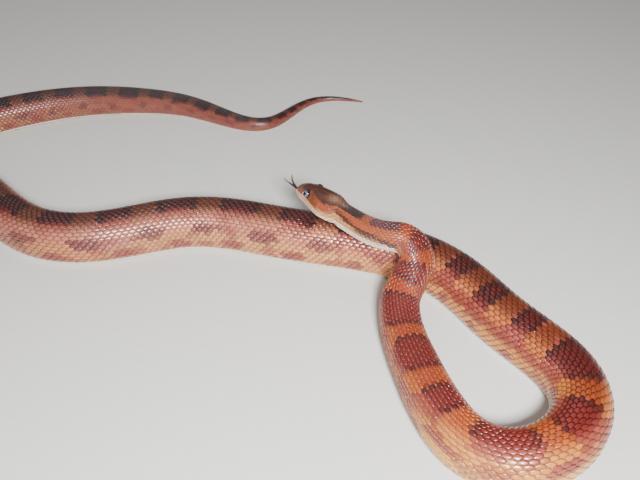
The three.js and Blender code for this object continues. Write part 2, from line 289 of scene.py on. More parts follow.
class Course:
    """The middle line of the belly: a uniform cubic B-spline read by distance, with its directions."""

    SAMPLES = 24000

    def __init__(self) -> None:
        """Measures the spline."""
        points = np.array([*RAISED_COURSE, *((x, y, 0) for x, y in FLOOR_COURSE)], float)
        points = np.vstack([2 * points[0] - points[1], points, 2 * points[-1] - points[-2]])
        spans = len(points) - 3
        t = np.linspace(0, spans, self.SAMPLES + 1)
        k = np.minimum(t.astype(int), spans - 1)
        f = (t - k)[:, None]
        self.points = (
            (1 - f) ** 3 * points[k]
            + (3 * f**3 - 6 * f**2 + 4) * points[k + 1]
            + (-3 * f**3 + 3 * f**2 + 3 * f + 1) * points[k + 2]
            + f**3 * points[k + 3]
        ) / 6
        steps = np.linalg.norm(np.diff(self.points, axis=0), axis=1)
        self.distance = np.concatenate([[0], np.cumsum(steps)])
        self.length = float(self.distance[-1])
        self.back = unit(np.gradient(self.points, axis=0))

    def read(self, table: Array, distance: Array) -> Array:
        """Values of a table of the samples at some distances."""
        return np.stack([np.interp(distance, self.distance, table[:, k]) for k in range(3)], axis=-1)

    def frames(self, distance: Array) -> tuple[Array, Array, Array, Array]:
        """Point, and directions to the tail, to the left and up, at some distances.

        Args:
            distance: distances behind the head, none below 0.

        Returns:
            Four arrays of vectors.
        """
        back = unit(self.read(self.back, distance))
        left = unit(np.cross(back, [0, 0, 1]))
        return self.read(self.points, distance), back, left, np.cross(left, back)


@dataclass(frozen=True)
class Trunk:
    """Section of the body: a flat belly, steep flanks and an arched back, for a body 1 wide."""

    height: float = 0.94
    belly: float = 0.25
    belly_edge: float = -56.0
    flank_power: float = 3.0
    back_power: float = 2.15

    def outline(self, count: int) -> Array:
        """Right-hand half of the section from the middle of the back to the middle of the belly.

        Args:
            count: points, evenly spaced along the outline.

        Returns:
            Rows of (across, up).
        """
        a = np.radians(np.linspace(90, self.belly_edge, 160))
        power = np.where(np.sin(a) < 0, 2 / self.flank_power, 2 / self.back_power)
        across, up = 0.5 * signed_power(np.cos(a), power), 0.5 * self.height * signed_power(np.sin(a), power)
        floor = -self.height / 2
        return evenly(np.vstack([np.stack([across, up], axis=1), [[self.belly, floor], [0, floor]]]), count)


class View(Enum):
    """The side of the head that a shield is drawn on, by the numbers of its two coordinates."""

    TOP = ("top", 0, 1)
    SIDE = ("side", 0, 2)
    UNDER = ("under", 0, 1)
    FRONT = ("front", 1, 2)


@dataclass(frozen=True)
class Head:
    """The head in its own frame: x forward from its back, y left, z up, before its scale."""

    length: float = 34.0
    scale: float = 1.08
    roll: float = 8.0
    snout_start: float = 26.0
    tip_z: float = 0.1
    crown_power: float = 2.35
    throat_power: float = 2.5
    half_width: Stations = (
        (0, 6.9), (4, 8.5), (8.5, 9.8), (13, 9.8), (18, 8.8), (22, 7.7), (26, 6.7), (30, 5.9), (34, 5.3),
    )
    top: Stations = ((0, 6.5), (5, 6.9), (12, 7), (18, 6.8), (22, 6.4), (27, 5.4), (31, 4.3), (34, 3.4))
    bottom: Stations = ((0, -6.5), (5, -6.6), (12, -6.2), (18, -5.6), (24, -5), (30, -4.5), (34, -4.1))
    mouth: Stations = ((6, -1.5), (10, -2.5), (15, -2.9), (20, -2.8), (26, -2.3), (31, -1.9), (36, -1.8))
    mouth_corner: float = 6.0
    eye: Triple = (22.7, 4.95, 3.2)
    eye_radius: float = 2.65
    gaze: Triple = (0.12, 1.0, 0.28)
    nostril: Triple = (31.1, 5.1, 1.4)

    def share(self, x: Array, power: float) -> Array:
        """Share of the full section that is left at x, down to nothing at the tip of the snout."""
        t = np.clip((x - self.snout_start) / (self.length - self.snout_start), 0, 1)
        return np.maximum(1 - t**power, 0) ** (1 / power)

    def outline(self, x: float, count: int) -> Array:
        """Left-hand half of the head's section.

        Args:
            x: place along the head.
            count: points, evenly spaced from the top to the bottom.

        Returns:
            Rows of (y, z).
        """
        at = np.array([x])
        width = float((smooth(self.half_width, at) * self.share(at, 3))[0])
        top, bottom = (
            self.tip_z + float(((smooth(table, at) - self.tip_z) * self.share(at, power))[0])
            for table, power in ((self.top, 2.6), (self.bottom, 2))
        )
        level = self.tip_z * x / self.length
        a = np.linspace(0, math.pi, 181)
        above = np.cos(a) > 0
        power = np.where(above, 2 / self.crown_power, 2 / self.throat_power)
        reach = np.where(above, top - level, level - bottom)
        z = level + reach * signed_power(np.cos(a), power)
        return evenly(np.stack([width * signed_power(np.sin(a), power), z], axis=1), count)


class HeadShields:
    """The large plates of a colubrid head, drawn as outlines on the views of the head."""

    # Plates in pairs, of which the left one is drawn, and the frontal on the middle
    TOP = {
        "internasal": ((33.3, 0), (30.7, 0), (30.5, 3.7), (32.3, 4.3)),
        "prefrontal": ((30.5, 0), (26.7, 0), (26.3, 4.4), (27.6, 5.5), (30.2, 4.2)),
        "supraocular": (
            (26.3, 3.1), (26.4, 4.7), (24.4, 5.7), (21.2, 5.9), (19.5, 5.1), (19.6, 2.3), (22.4, 2.8),
        ),
        "parietal": ((19.4, 2.2), (18.4, 0), (10.4, 0), (9.5, 1.8), (10.8, 4.6), (14.4, 5.8), (19.3, 5.3)),
    }
    FRONTAL = ((26.5, 2.9), (22.4, 2.6), (19.6, 2.1), (18.5, 0), (19.6, -2.1), (22.4, -2.6), (26.5, -2.9))
    SIDE = {
        "nasal_front": ((33.4, 0.1), (31.3, 0.1), (31.2, 2.9), (32.6, 2.7)),
        "nasal_rear": ((31.2, 0.1), (29.9, 0.1), (29.8, 3.4), (31.1, 3)),
        "loreal": ((29.8, 0.2), (27.7, 0.2), (27.5, 3.4), (29.7, 3.5)),
        "preocular": ((27.6, 0.2), (25.9, 0.2), (25.3, 2.2), (25.4, 4.9), (26.8, 4.6), (27.4, 3.5)),
        "postocular_upper": ((20.1, 3), (18.1, 3), (18.1, 5.2), (19.6, 5.5)),
        "postocular_lower": ((20.4, 0.5), (18.2, 0.3), (18.1, 2.9), (20.1, 2.9)),
        "temporal_upper": ((18, 2.8), (13.9, 2.9), (13.7, 5.1), (18, 5.1)),
        "temporal_lower": ((18, 0.3), (13.9, 0.3), (13.8, 2.8), (18, 2.7)),
        "temporal_rear_upper": ((13.6, 3), (10.4, 3.1), (10.5, 5.1), (13.5, 5.1)),
        "temporal_rear_lower": ((13.7, 0.4), (10.3, 0.5), (10.3, 2.9), (13.6, 2.9)),
    }
    UNDER = {
        "chin_front": ((31.6, 0.1), (25.8, 0.1), (25.2, 2.6), (30.6, 2.3)),
        "chin_rear": ((25.6, 0.4), (20.4, 1), (20.8, 3.2), (25.1, 2.8)),
    }
    FRONT = {
        "rostral": ((-2.3, -1.7), (-1.6, 1.5), (0, 2.1), (1.6, 1.5), (2.3, -1.7)),
        "mental": ((-1.6, -2.1), (1.6, -2.1), (0.9, -4), (-0.9, -4)),
    }
    LIP_COUNT = 8
    LIP_FRONT = 33.0
    LIP_BACK = 6.6
    LIPS = ((0.12, 2.85), (-0.12, -2.15))  # the upper and the lower row's edges, off the mouth's line

    def __init__(self, head: Head) -> None:
        """Collects every outline as (view, side, corners).

        Args:
            head: the head that carries them.
        """
        self.outlines: list[tuple[View, int, tuple]] = [(View.TOP, 0, self.FRONTAL)]
        for view, shields in ((View.TOP, self.TOP), (View.UNDER, self.UNDER)):
            for corners in shields.values():
                self.outlines += [(view, 1, corners), (view, -1, tuple((x, -y) for x, y in corners))]
        lips = [corners for near, far in self.LIPS for corners in self.lip_row(head, near, far)]
        for corners in [*self.SIDE.values(), *lips]:
            self.outlines += [(View.SIDE, 1, corners), (View.SIDE, -1, corners)]
        self.outlines += [(View.FRONT, 0, corners) for corners in self.FRONT.values()]

    def lip_row(self, head: Head, near: float, far: float) -> list[tuple]:
        """Outlines of one row of lip plates, front to back.

        Args:
            head: the head that carries them.
            near: height of their edge at the mouth over the mouth's line.
            far: height of their other edge.

        Returns:
            The corners of each plate.
        """
        edges = np.linspace(self.LIP_FRONT, self.LIP_BACK, self.LIP_COUNT + 1)
        rows = []
        for front, back in zip(edges[:-1], edges[1:]):
            along = np.array([front, (front + back) / 2, back])
            line = smooth(head.mouth, along)
            rows.append((*zip(along, line + near), *zip(along[::-1] - 0.25, line[::-1] + far)))
        return rows

    def depth(self, places: Array) -> Array:
        """How far inside a shield each place of the head is.

        Args:
            places: rows of (x, y, z) in the head's frame.

        Returns:
            Millimetres in from the nearest edge of its shield, and 0 outside every shield.
        """
        deepest = np.zeros(len(places))
        for view, side, corners in self.outlines:
            flat, polygon = places[:, list(view.value[1:])], np.array(corners, float)
            within = np.all((flat >= polygon.min(0)) & (flat <= polygon.max(0)), axis=1)
            rows = np.nonzero(self.facing(places, view, side) & within)[0]
            if len(rows):
                deepest[rows] = np.maximum(deepest[rows], inside_depth(flat[rows], polygon))
        return deepest

    @staticmethod
    def facing(places: Array, view: View, side: int) -> NDArray[np.bool_]:
        """Which places of the head can be seen in a view.

        Args:
            places: rows of (x, y, z) in the head's frame.
            view: the view.
            side: in the side view 1 for the left half of the head and -1 for the right half.

        Returns:
            True for each that can.
        """
        x, y, z = places.T
        if view is View.SIDE:
            return y * side > 1.5
        return {View.TOP: z > 1.2, View.UNDER: z < -2.6, View.FRONT: x > 32.2}[view]


def inside_depth(places: Array, polygon: Array) -> Array:
    """Distance of places from a polygon's edges, with 0 for a place outside it.

    Args:
        places: rows of two coordinates.
        polygon: the corners in order.

    Returns:
        One distance for each place.
    """
    inside = np.zeros(len(places), bool)
    nearest = np.full(len(places), np.inf)
    for a, b in zip(polygon, np.roll(polygon, -1, axis=0)):
        edge = b - a
        crosses = (a[1] > places[:, 1]) != (b[1] > places[:, 1])
        if edge[1]:
            inside ^= crosses & (places[:, 0] < a[0] + (places[:, 1] - a[1]) * edge[0] / edge[1])
        t = np.clip(((places - a) @ edge) / (edge @ edge), 0, 1)
        nearest = np.minimum(nearest, np.linalg.norm(places - a - t[:, None] * edge, axis=1))
    return np.where(inside, nearest, 0)


@dataclass
class Form:
    """The snake's whole outer form, from the tip of the snout to the tip of the tail."""

    head: Head = field(default_factory=Head)
    trunk: Trunk = field(default_factory=Trunk)
    course: Course = field(default_factory=Course)
    half_count: int = 60
    head_rings: int = 90
    step: float = 1.2
    roll_end: float = 35.0

    def __post_init__(self) -> None:
        """Measures a fine grid of the form, which places on the snake are read from."""
        self.tip = -self.head.length * self.head.scale
        head_rows = self.tip + 0.02 - self.tip * (1 - np.cos(np.linspace(0, math.pi / 2, self.head_rings)))
        body_rows = np.arange(self.step, self.course.length, self.step)
        self.rows = np.concatenate([head_rows, body_rows, [self.course.length]])
        self.grid = self.points(self.rows, self.half_count)
        along = np.gradient(self.grid, self.rows, axis=0)
        self.stretch = np.linalg.norm(along, axis=2)
        self.girth = np.linalg.norm(np.diff(self.grid, axis=1), axis=2).sum(axis=1)
        self.outward = unit(np.cross(np.gradient(self.grid, axis=1), along))
        self.along = unit(along)

    def head_axes(self) -> tuple[Array, Array]:
        """Finds the head's frame.

        Returns:
            The place of the back of the head, and its directions forward, left and up as rows.
        """
        point, back, left, up = self.course.frames(np.array([0.0]))
        middle = point[0] + [0, 0, smooth(GIRTH, np.array([0.0]))[0] * self.trunk.height / 2]
        c, s = math.cos(math.radians(self.head.roll)), math.sin(math.radians(self.head.roll))
        return middle, np.array([-back[0], c * left[0] + s * up[0], c * up[0] - s * left[0]])

    def head_to_world(self, places: Array) -> Array:
        """Turns places in the head's frame to points of the shared frame, in millimetres."""
        middle, axes = self.head_axes()
        return middle + self.head.scale * places @ axes

    def world_to_head(self, points: Array) -> Array:
        """Turns points of the shared frame to places in the head's frame."""
        middle, axes = self.head_axes()
        return (points - middle) @ axes.T / self.head.scale

    def sections(self, rows: Array) -> tuple[Array, Array, Array, Array, Array]:
        """Places the sections of the form.

        Args:
            rows: distances behind the head.

        Returns:
            Their middles, their directions back, left and up, and their widths.
        """
        middle, axes = self.head_axes()
        on_body = np.maximum(rows, 0)
        point, back, left, up = self.course.frames(on_body)
        width = smooth(GIRTH, on_body)
        roll = np.radians(self.head.roll) * (1 - ease(rows, 0, self.roll_end))[:, None]
        left, up = np.cos(roll) * left + np.sin(roll) * up, np.cos(roll) * up - np.sin(roll) * left
        centre = point + np.array([0, 0, 1]) * (width * self.trunk.height / 2)[:, None]
        centre = np.where(rows[:, None] < 0, middle - rows[:, None] * axes[0], centre)
        return centre, back, left, up, width

    def points(self, rows: Array, half_count: int) -> Array:
        """Points of the form in rings.

        Args:
            rows: distances behind the head.
            half_count: columns on each side of the middle of the back.

        Returns:
            One ring for each row, from belly over the right side and the left side to belly again.
        """
        body = self.trunk.outline(half_count + 1)
        centre, _, left, up, width = self.sections(rows)
        head_share = 1 - ease(rows, -3, 5)
        rings = []
        for i, row in enumerate(rows):
            half = body * width[i]
            if head_share[i] > 0:
                of_head = self.head.outline(max(-row, 0) / self.head.scale, half_count + 1) * self.head.scale
                half = half + (of_head - half) * head_share[i]
            across, height = half.T
            flank, out = centre[i] + height[:, None] * up[i], across[:, None] * left[i]
            rings.append(np.vstack([(flank - out)[:0:-1], flank + out]))
        return np.array(rings)

    def read(self, table: Array, distance: Array, share: Array) -> Array:
        """Values of a table on the grid at places of the snake.

        Args:
            table: one value or vector for each row and column of the grid.
            distance: distances behind the head.
            share: shares round the body, from -1 to 1.

        Returns:
            The values between the grid's, one for each place.
        """
        r = np.clip(np.interp(distance, self.rows, np.arange(len(self.rows))), 0, len(self.rows) - 1.001)
        c = np.clip((share + 1) * self.half_count, 0, 2 * self.half_count - 0.001)
        i, j = r.astype(int), c.astype(int)
        u, v = r - i, c - j
        if table.ndim == 3:
            u, v = u[:, None], v[:, None]
        upper = table[i, j] * (1 - v) + table[i, j + 1] * v
        return upper * (1 - u) + (table[i + 1, j] * (1 - v) + table[i + 1, j + 1] * v) * u

    def round_girth(self, distance: Array) -> Array:
        """Distance round the body at some distances behind the head."""
        return np.interp(distance, self.rows, self.girth)


def quaternions(across: Array, along: Array, outward: Array) -> Array:
    """Turns three directions, as a rotation's columns, to quaternions (w, x, y, z).

    Args:
        across: where local x points.
        along: where local y points.
        outward: where local z points.

    Returns:
        One quaternion for each row.
    """
    m = np.stack([across, along, outward], axis=-1)
    trace = m[:, 0, 0] + m[:, 1, 1] + m[:, 2, 2]
    squares = np.stack([1 + trace, *(1 + 2 * m[:, k, k] - trace for k in range(3))], axis=1)
    best = squares.argmax(axis=1)
    size = np.sqrt(np.maximum(squares[np.arange(len(m)), best], 1e-12)) / 2
    wx, wy, wz = m[:, 2, 1] - m[:, 1, 2], m[:, 0, 2] - m[:, 2, 0], m[:, 1, 0] - m[:, 0, 1]
    xy, xz, yz = m[:, 0, 1] + m[:, 1, 0], m[:, 0, 2] + m[:, 2, 0], m[:, 1, 2] + m[:, 2, 1]
    no = np.zeros(len(m))
    table = np.array([[no, wx, wy, wz], [wx, no, xy, xz], [wy, xy, no, yz], [wz, xz, yz, no]])
    result = table[best, :, np.arange(len(m))] / (4 * size[:, None])
    result[np.arange(len(m)), best] = size
    return result


class Palette:
    """Colours of a wild-type corn snake as sRGB hex, with some painted shade; the tables give them by
    distance behind the head.
    """

    # From the loop to the tail BACK, FLANK, LOW_FLANK, SADDLE and SADDLE_EDGE grow darker and redder: partly
    # the snake's own colour, partly painted shade for light that falls off with distance.
    BACK = (
        (60, "#883010"), (150, "#8e3410"), (190, "#9a4414"), (240, "#863511"), (275, "#6b2a0a"),
        (340, "#59220a"), (480, "#502413"), (850, "#4c2818"), (980, "#482418"),
    )
    FLANK = (
        (60, "#96441c"), (150, "#a15621"), (190, "#bc7836"), (240, "#b46c30"), (300, "#9f501e"),
        (420, "#b86a42"), (520, "#ab6752"), (850, "#945648"), (980, "#7e402e"),
    )
    # The darker low flank at 140 is painted shade, for the side of the near arm that is turned away from the
    # light.
    LOW_FLANK = (
        (60, "#965c24"), (140, "#98561f"), (190, "#db9a39"), (240, "#ca8c3b"), (300, "#bb762e"),
        (420, "#c4844c"), (520, "#bc7e52"), (620, "#ae6e44"), (850, "#965c42"), (980, "#864a36"),
    )
    SADDLE = (
        (60, "#6c2018"), (220, "#671b14"), (280, "#490f09"), (420, "#3e0e0b"), (600, "#3b1211"),
        (980, "#2c1315"),
    )
    SADDLE_EDGE = ((60, "#451611"), (240, "#3a110d"), (300, "#280c0b"), (600, "#1c0c0c"), (980, "#170a0a"))
    MAUVE = "#7f342e"
    SPECK = "#612a2c"
    BELLY = "#e6d3bf"
    CHECK = "#2c1d1e"
    BARE = "#84543e"  # stretched skin between the scales
    BARE_DARK = "#190e11"
    CROWN = "#441f12"
    CROWN_EDGE = "#26110c"
    NAPE_PALE = "#997058"
    SNOUT = "#694636"
    STRIPE = "#8c3f1c"
    STRIPE_EDGE = "#401b0d"
    CHEEK = "#b67c42"
    FACE = "#724739"
    LIP = "#c6997d"
    CHIN = "#dec6b0"
    SEAM = "#4a3026"
    NECK_SADDLE = "#4e2123"


@dataclass
class Markings:
    """The markings by place: saddles along the back, mottled flanks, a pale belly with dark checks."""

    form: Form
    # Middle of each patch of ground between two saddles, by distance behind the head, and half its length
    gaps: tuple[float, ...] = (
        42, 57, 78, 113, 148, 178, 224, 261, 300, 327, 353, 381, 420, 459, 498, 540, 582, 620, 658, 697, 735,
        772, 807, 840, 868, 895, 921, 947, 975, 1002, 1024, 1047, 1068, 1087, 1105, 1122, 1138, 1153, 1167,
        1180, 1192, 1203, 1213,
    )
    gap_half: Stations = (
        (42, 2.8), (57, 3.2), (78, 4.4), (113, 5), (178, 6), (261, 6.5), (381, 7), (498, 8), (658, 7.5),
        (921, 5.2), (1047, 3.8), (1120, 3), (1223, 1.6),
    )
    # Share of the way round that a saddle reaches down, and how much farther the mauve apron under it does
    saddle_reach: Stations = (
        (38, 0.3), (70, 0.34), (110, 0.34), (150, 0.25), (185, 0.15), (215, 0.15), (250, 0.22), (300, 0.28),
        (400, 0.27), (500, 0.19), (650, 0.18), (900, 0.22), (1000, 0.27), (1100, 0.32), (1223, 0.36),
    )
    apron_drop: Stations = (
        (60, 0.03), (150, 0.08), (190, 0.14), (240, 0.14), (300, 0.17), (420, 0.14), (520, 0.1), (850, 0.06),
        (1223, 0.03),
    )
    # How far the saddles' middle lies off the back's
    lean: Stations = (
        (40, 0), (150, 0), (180, -0.05), (225, -0.06), (265, 0), (330, 0.04), (560, 0.06), (700, 0.03),
        (900, 0.03), (1223, 0),
    )
    # Edges of the bands on the head and neck, by distance behind the head and share of the way round
    stripe_top: Stations = (
        (-24.5, 0.2), (-22.6, 0.17), (-18.4, 0.22), (-14.3, 0.27), (-8, 0.28), (-0.7, 0.17), (13, 0.15),
        (40, 0.15),
    )
    stripe_low: Stations = ((-21.4, 0.32), (-15.6, 0.37), (-11.6, 0.42), (-5, 0.45), (2, 0.45))
    lip_top: Stations = ((-35, 0.4), (-26.5, 0.43), (-19.4, 0.45), (-14, 0.48), (-8.9, 0.52), (0, 0.6))
    neck_line: Stations = (
        (-2, 0.29), (2.4, 0.32), (10.8, 0.38), (18, 0.41), (29, 0.44), (35, 0.52), (40, 0.57),
    )
    edge_width: float = 5.0
    neck_end: float = 38.0
    broad_patch: float = 10.0
    fine_patch: float = 3.6
    stray_patch: float = 6.5
    check_length: float = 9.5
    grain_patch: float = 2.2
    seed: int = 7

    def along(self, colours: tuple[tuple[float, str], ...], distance: Array) -> Array:
        """Reads a table of colours.

        Args:
            colours: a hex colour at each of some stations.
            distance: distances behind the head.

        Returns:
            The linear colour at each distance.
        """
        at, values = [place for place, _ in colours], np.array([linear(colour) for _, colour in colours])
        return np.stack([np.interp(distance, at, values[:, k]) for k in range(3)], axis=1)

    def body(self, distance: Array, share: Array) -> tuple[Array, Array]:
        """Colour of the body.

        Args:
            distance: distances behind the head.
            share: shares round the body.

        Returns:
            The linear colours, and how dark the pattern is there from 0 to 1.
        """
        side, off = np.abs(share), np.abs(share - smooth(self.lean, distance))
        flat = np.stack([distance, share * self.form.round_girth(distance) / 2], axis=1)
        broad, fine = patchy(flat, self.broad_patch, self.seed), patchy(flat, self.fine_patch, self.seed + 1)
        # The saddle between the two nearest gaps: how far along it (u) and how far down (off) a place is
        gaps = np.array(self.gaps, float)
        i = np.clip(np.searchsorted(gaps, distance), 1, len(gaps) - 1)
        half = smooth(self.gap_half, distance)
        low, high = gaps[i - 1] + half, gaps[i] - half
        middle, reach = (low + high) / 2, np.maximum((high - low) / 2, 1)
        u = np.abs(distance - middle) / reach
        wave = smooth(self.saddle_reach, distance) * (1 + 0.3 * (broad - 0.5))
        near_gap = np.minimum(np.abs(distance - gaps[i - 1]), np.abs(distance - gaps[i]))
        # Below each saddle a mauve apron, beside each gap a blotch low on the flank, lower marks between them
        apron = 1 - ease(off - wave - smooth(self.apron_drop, distance) + 0.12 * (fine - 0.5), 0, 0.04)
        apron *= ease(1.05 - u + 0.5 * (broad - 0.5) - 0.3 * (fine - 0.5), 0.05, 0.2)
        on_tail = ease(distance, 780, 940)
        blotch = bump(off, 0.43, 0.085) * bump(near_gap, 0, 9.5 - 5 * on_tail)
        least = 0.32 + 0.15 * on_tail
        blotch = ease(blotch + (0.5 + 0.4 * on_tail) * (fine - 0.5), least, 0.45 + 0.15 * on_tail)
        low_mark = ease(bump(side, 0.6, 0.08) * bump(u, 0, 0.6) + 0.6 * (fine - 0.5), 0.36, 0.52)
        stray = ease(patchy(flat, self.stray_patch, self.seed + 3), 0.62, 0.7) * ease(side, 0.24, 0.34)
        # A saddle with rounded corners, darkest at its two ends
        rounding = (np.clip(u, 0, 2) ** 6 + (off / wave) ** 6) ** (1 / 6)
        depth = (1 - rounding) * np.minimum(reach, 16)
        inside = ease(depth, -0.5, 0.5)
        ends = ease(u - off / wave, -0.35, 0.1)
        dark_edge = (1 - ease(depth, 0, self.edge_width)) * (0.2 + 0.8 * ends)
        saddle = paint(
            self.along(Palette.SADDLE, distance),
            (self.along(Palette.SADDLE_EDGE, distance), np.clip(dark_edge + 0.3 * (fine - 0.45), 0, 0.9)),
            (Palette.MAUVE, 0.5 * ease(off / wave, 0.55, 1) * (1 - ends)),
        )
        colour = paint(
            self.along(Palette.BACK, distance),
            (self.along(Palette.FLANK, distance), ease(off, 0.1, 0.32)),
            (self.along(Palette.LOW_FLANK, distance), ease(side + 0.2 * (broad - 0.5), 0.36, 0.5)),
            (Palette.MAUVE, (0.85 - 0.4 * ease(distance, 420, 540)) * apron),
            (Palette.MAUVE, 0.6 * stray),
            (mix(Palette.MAUVE, Palette.SPECK, ease(distance, 380, 520)), 0.8 * blotch),
            (Palette.MAUVE, 0.85 * low_mark),
            (saddle, inside),
            (self.neck(distance, share), 1 - ease(distance, self.neck_end - 1, self.neck_end + 2)),
            (self.belly(distance, share), ease(side, VENTRAL_EDGE - 0.007, VENTRAL_EDGE + 0.008)),
        )
        return colour, np.maximum(inside, 0.5 * blotch)

    def neck(self, distance: Array, share: Array) -> Array:
        """Colour of the neck: two dark arms on its back, an orange stripe, a dark line and a pale edge.

        Args:
            distance: distances behind the head.
            share: shares round the body.

        Returns:
            The linear colours.
        """
        side = np.abs(share)
        lower, over = smooth(self.neck_line, distance), smooth(self.stripe_top, distance)
        cheek = paint(
            Palette.CHEEK,
            (Palette.STRIPE_EDGE, 0.5 * ease(distance, 8, 22)),
            (Palette.CHIN, ease(side, 0.53, 0.6)),
        )
        top = paint(
            Palette.CROWN_EDGE,
            (Palette.NECK_SADDLE, ease(distance, 14, 24)),
            (Palette.STRIPE, 0.9 * ease(bump(distance, 18, 3.2), 0.3, 0.6)),
            (Palette.NAPE_PALE, (1 - ease(side, 0.04, 0.09)) * bump(distance, -4, 6)),
        )
        return paint(
            Palette.STRIPE,
            (cheek, ease(side - lower, -0.01, 0.02)),
            (Palette.STRIPE_EDGE, 0.95 * (1 - ease(np.abs(side - lower), 0.04, 0.07))),
            (top, 1 - ease(side - over, -0.02, 0.015)),
        )

    def belly(self, distance: Array, share: Array) -> Array:
        """Colour of the belly: pale, with dark checks that turn to two stripes under the tail.

        Args:
            distance: distances behind the head.
            share: shares round the body.

        Returns:
            The linear colours.
        """
        side, cell = np.abs(share), np.floor(distance / self.check_length)
        draw = patchy(np.stack([cell * 7.3, np.where(share > 0, 1, 0) * 5.1], axis=1) + 0.5, 1, self.seed + 4)
        check = ease(draw, 0.5, 0.6) * bump(side, 0.88, 0.075) * ease(distance, 60, 140)
        stripe = bump(side, 0.86, 0.05) * ease(distance, VENT, VENT + 20)
        return mix(Palette.BELLY, Palette.CHECK, np.clip(check + 0.8 * stripe, 0, 0.9))

    def head(self, places: Array, share: Array, seam: Array) -> Array:
        """Colour of the head.

        Args:
            places: rows of (x, y, z) in the head's frame.
            share: shares round the head.
            seam: how near a shield's edge each place is, from 0 to 1.

        Returns:
            The linear colours.
        """
        x, y, z = places.T
        side, distance = np.abs(share), -x * self.form.head.scale
        mouth = smooth(self.form.head.mouth, x)
        grain = patchy(places, self.grain_patch, self.seed + 9)
        top, low = smooth(self.stripe_top, distance), smooth(self.stripe_low, distance)
        lips = smooth(self.lip_top, distance)
        # An orange stripe from the eye to the cheek, between the dark crown and a brown band over the lips
        behind = 1 - ease(x, 20.5, 22.5)
        band = ease(side - low, -0.02, 0.01) * (1 - ease(side - lips, -0.015, 0.015))
        band = band * ease(x, 8, 13) * behind
        stripe = mix(Palette.STRIPE, Palette.STRIPE_EDGE, 0.7 * ease(x, 10, 19))
        front_half = 4.7 - 0.8 * ease(x, 24, 32)
        ahead = 1 - ease(np.abs(y), front_half - 0.5, front_half + 0.3)
        crown = np.where(x > 21.5, ahead, 1 - ease(side - top, -0.025, 0.01)) * ease(z, 1.6, 2.6)
        rim = bump(side - top, -0.03, 0.035) * (1 - ease(x, 19, 23))
        shade = paint(
            Palette.CROWN,
            (Palette.SNOUT, ease(x, 26.5, 30)),
            (Palette.NAPE_PALE, 0.85 * bump(x, 6.3, 3.8) * bump(y, 0, 3.6)),
            (Palette.CROWN_EDGE, np.clip(0.75 * rim + 0.4 * (grain - 0.5), 0, 1)),
        )
        colour = paint(
            Palette.FACE,
            (Palette.CHEEK, ease(side - low, -0.01, 0.02) * behind),
            (Palette.STRIPE_EDGE, 0.8 * band),
            (stripe, behind * (1 - ease(side - low, -0.02, 0.02))),
            (shade, crown),
            (Palette.CROWN_EDGE, 0.6 * bump(x, 27.2 - 0.05 * y * y, 0.7) * ease(z, 2.5, 4)),
            (Palette.LIP, ease(side - lips, -0.01, 0.02) * ease(x, 6, 10)),
            (Palette.CHIN, (1 - ease(z, mouth - 0.6, mouth)) * ease(x, 0, 5)),
            (Palette.SEAM, 0.55 * seam * ease(z, mouth - 0.5, mouth + 2)),
        )
        return colour * (0.9 + 0.2 * grain)[:, None]

    def anywhere(self, distance: Array, share: Array) -> Array:
        """Colour of single scales, on the body or the head.

        Args:
            distance: distances behind the head.
            share: shares round the body.

        Returns:
            The linear colours.
        """
        places = self.form.world_to_head(self.form.read(self.form.grid, distance, share))
        of_body, _ = self.body(np.maximum(distance, 0), share)
        return mix(of_body, self.head(places, share, np.zeros(len(distance))), 1 - ease(distance, -5, 1))


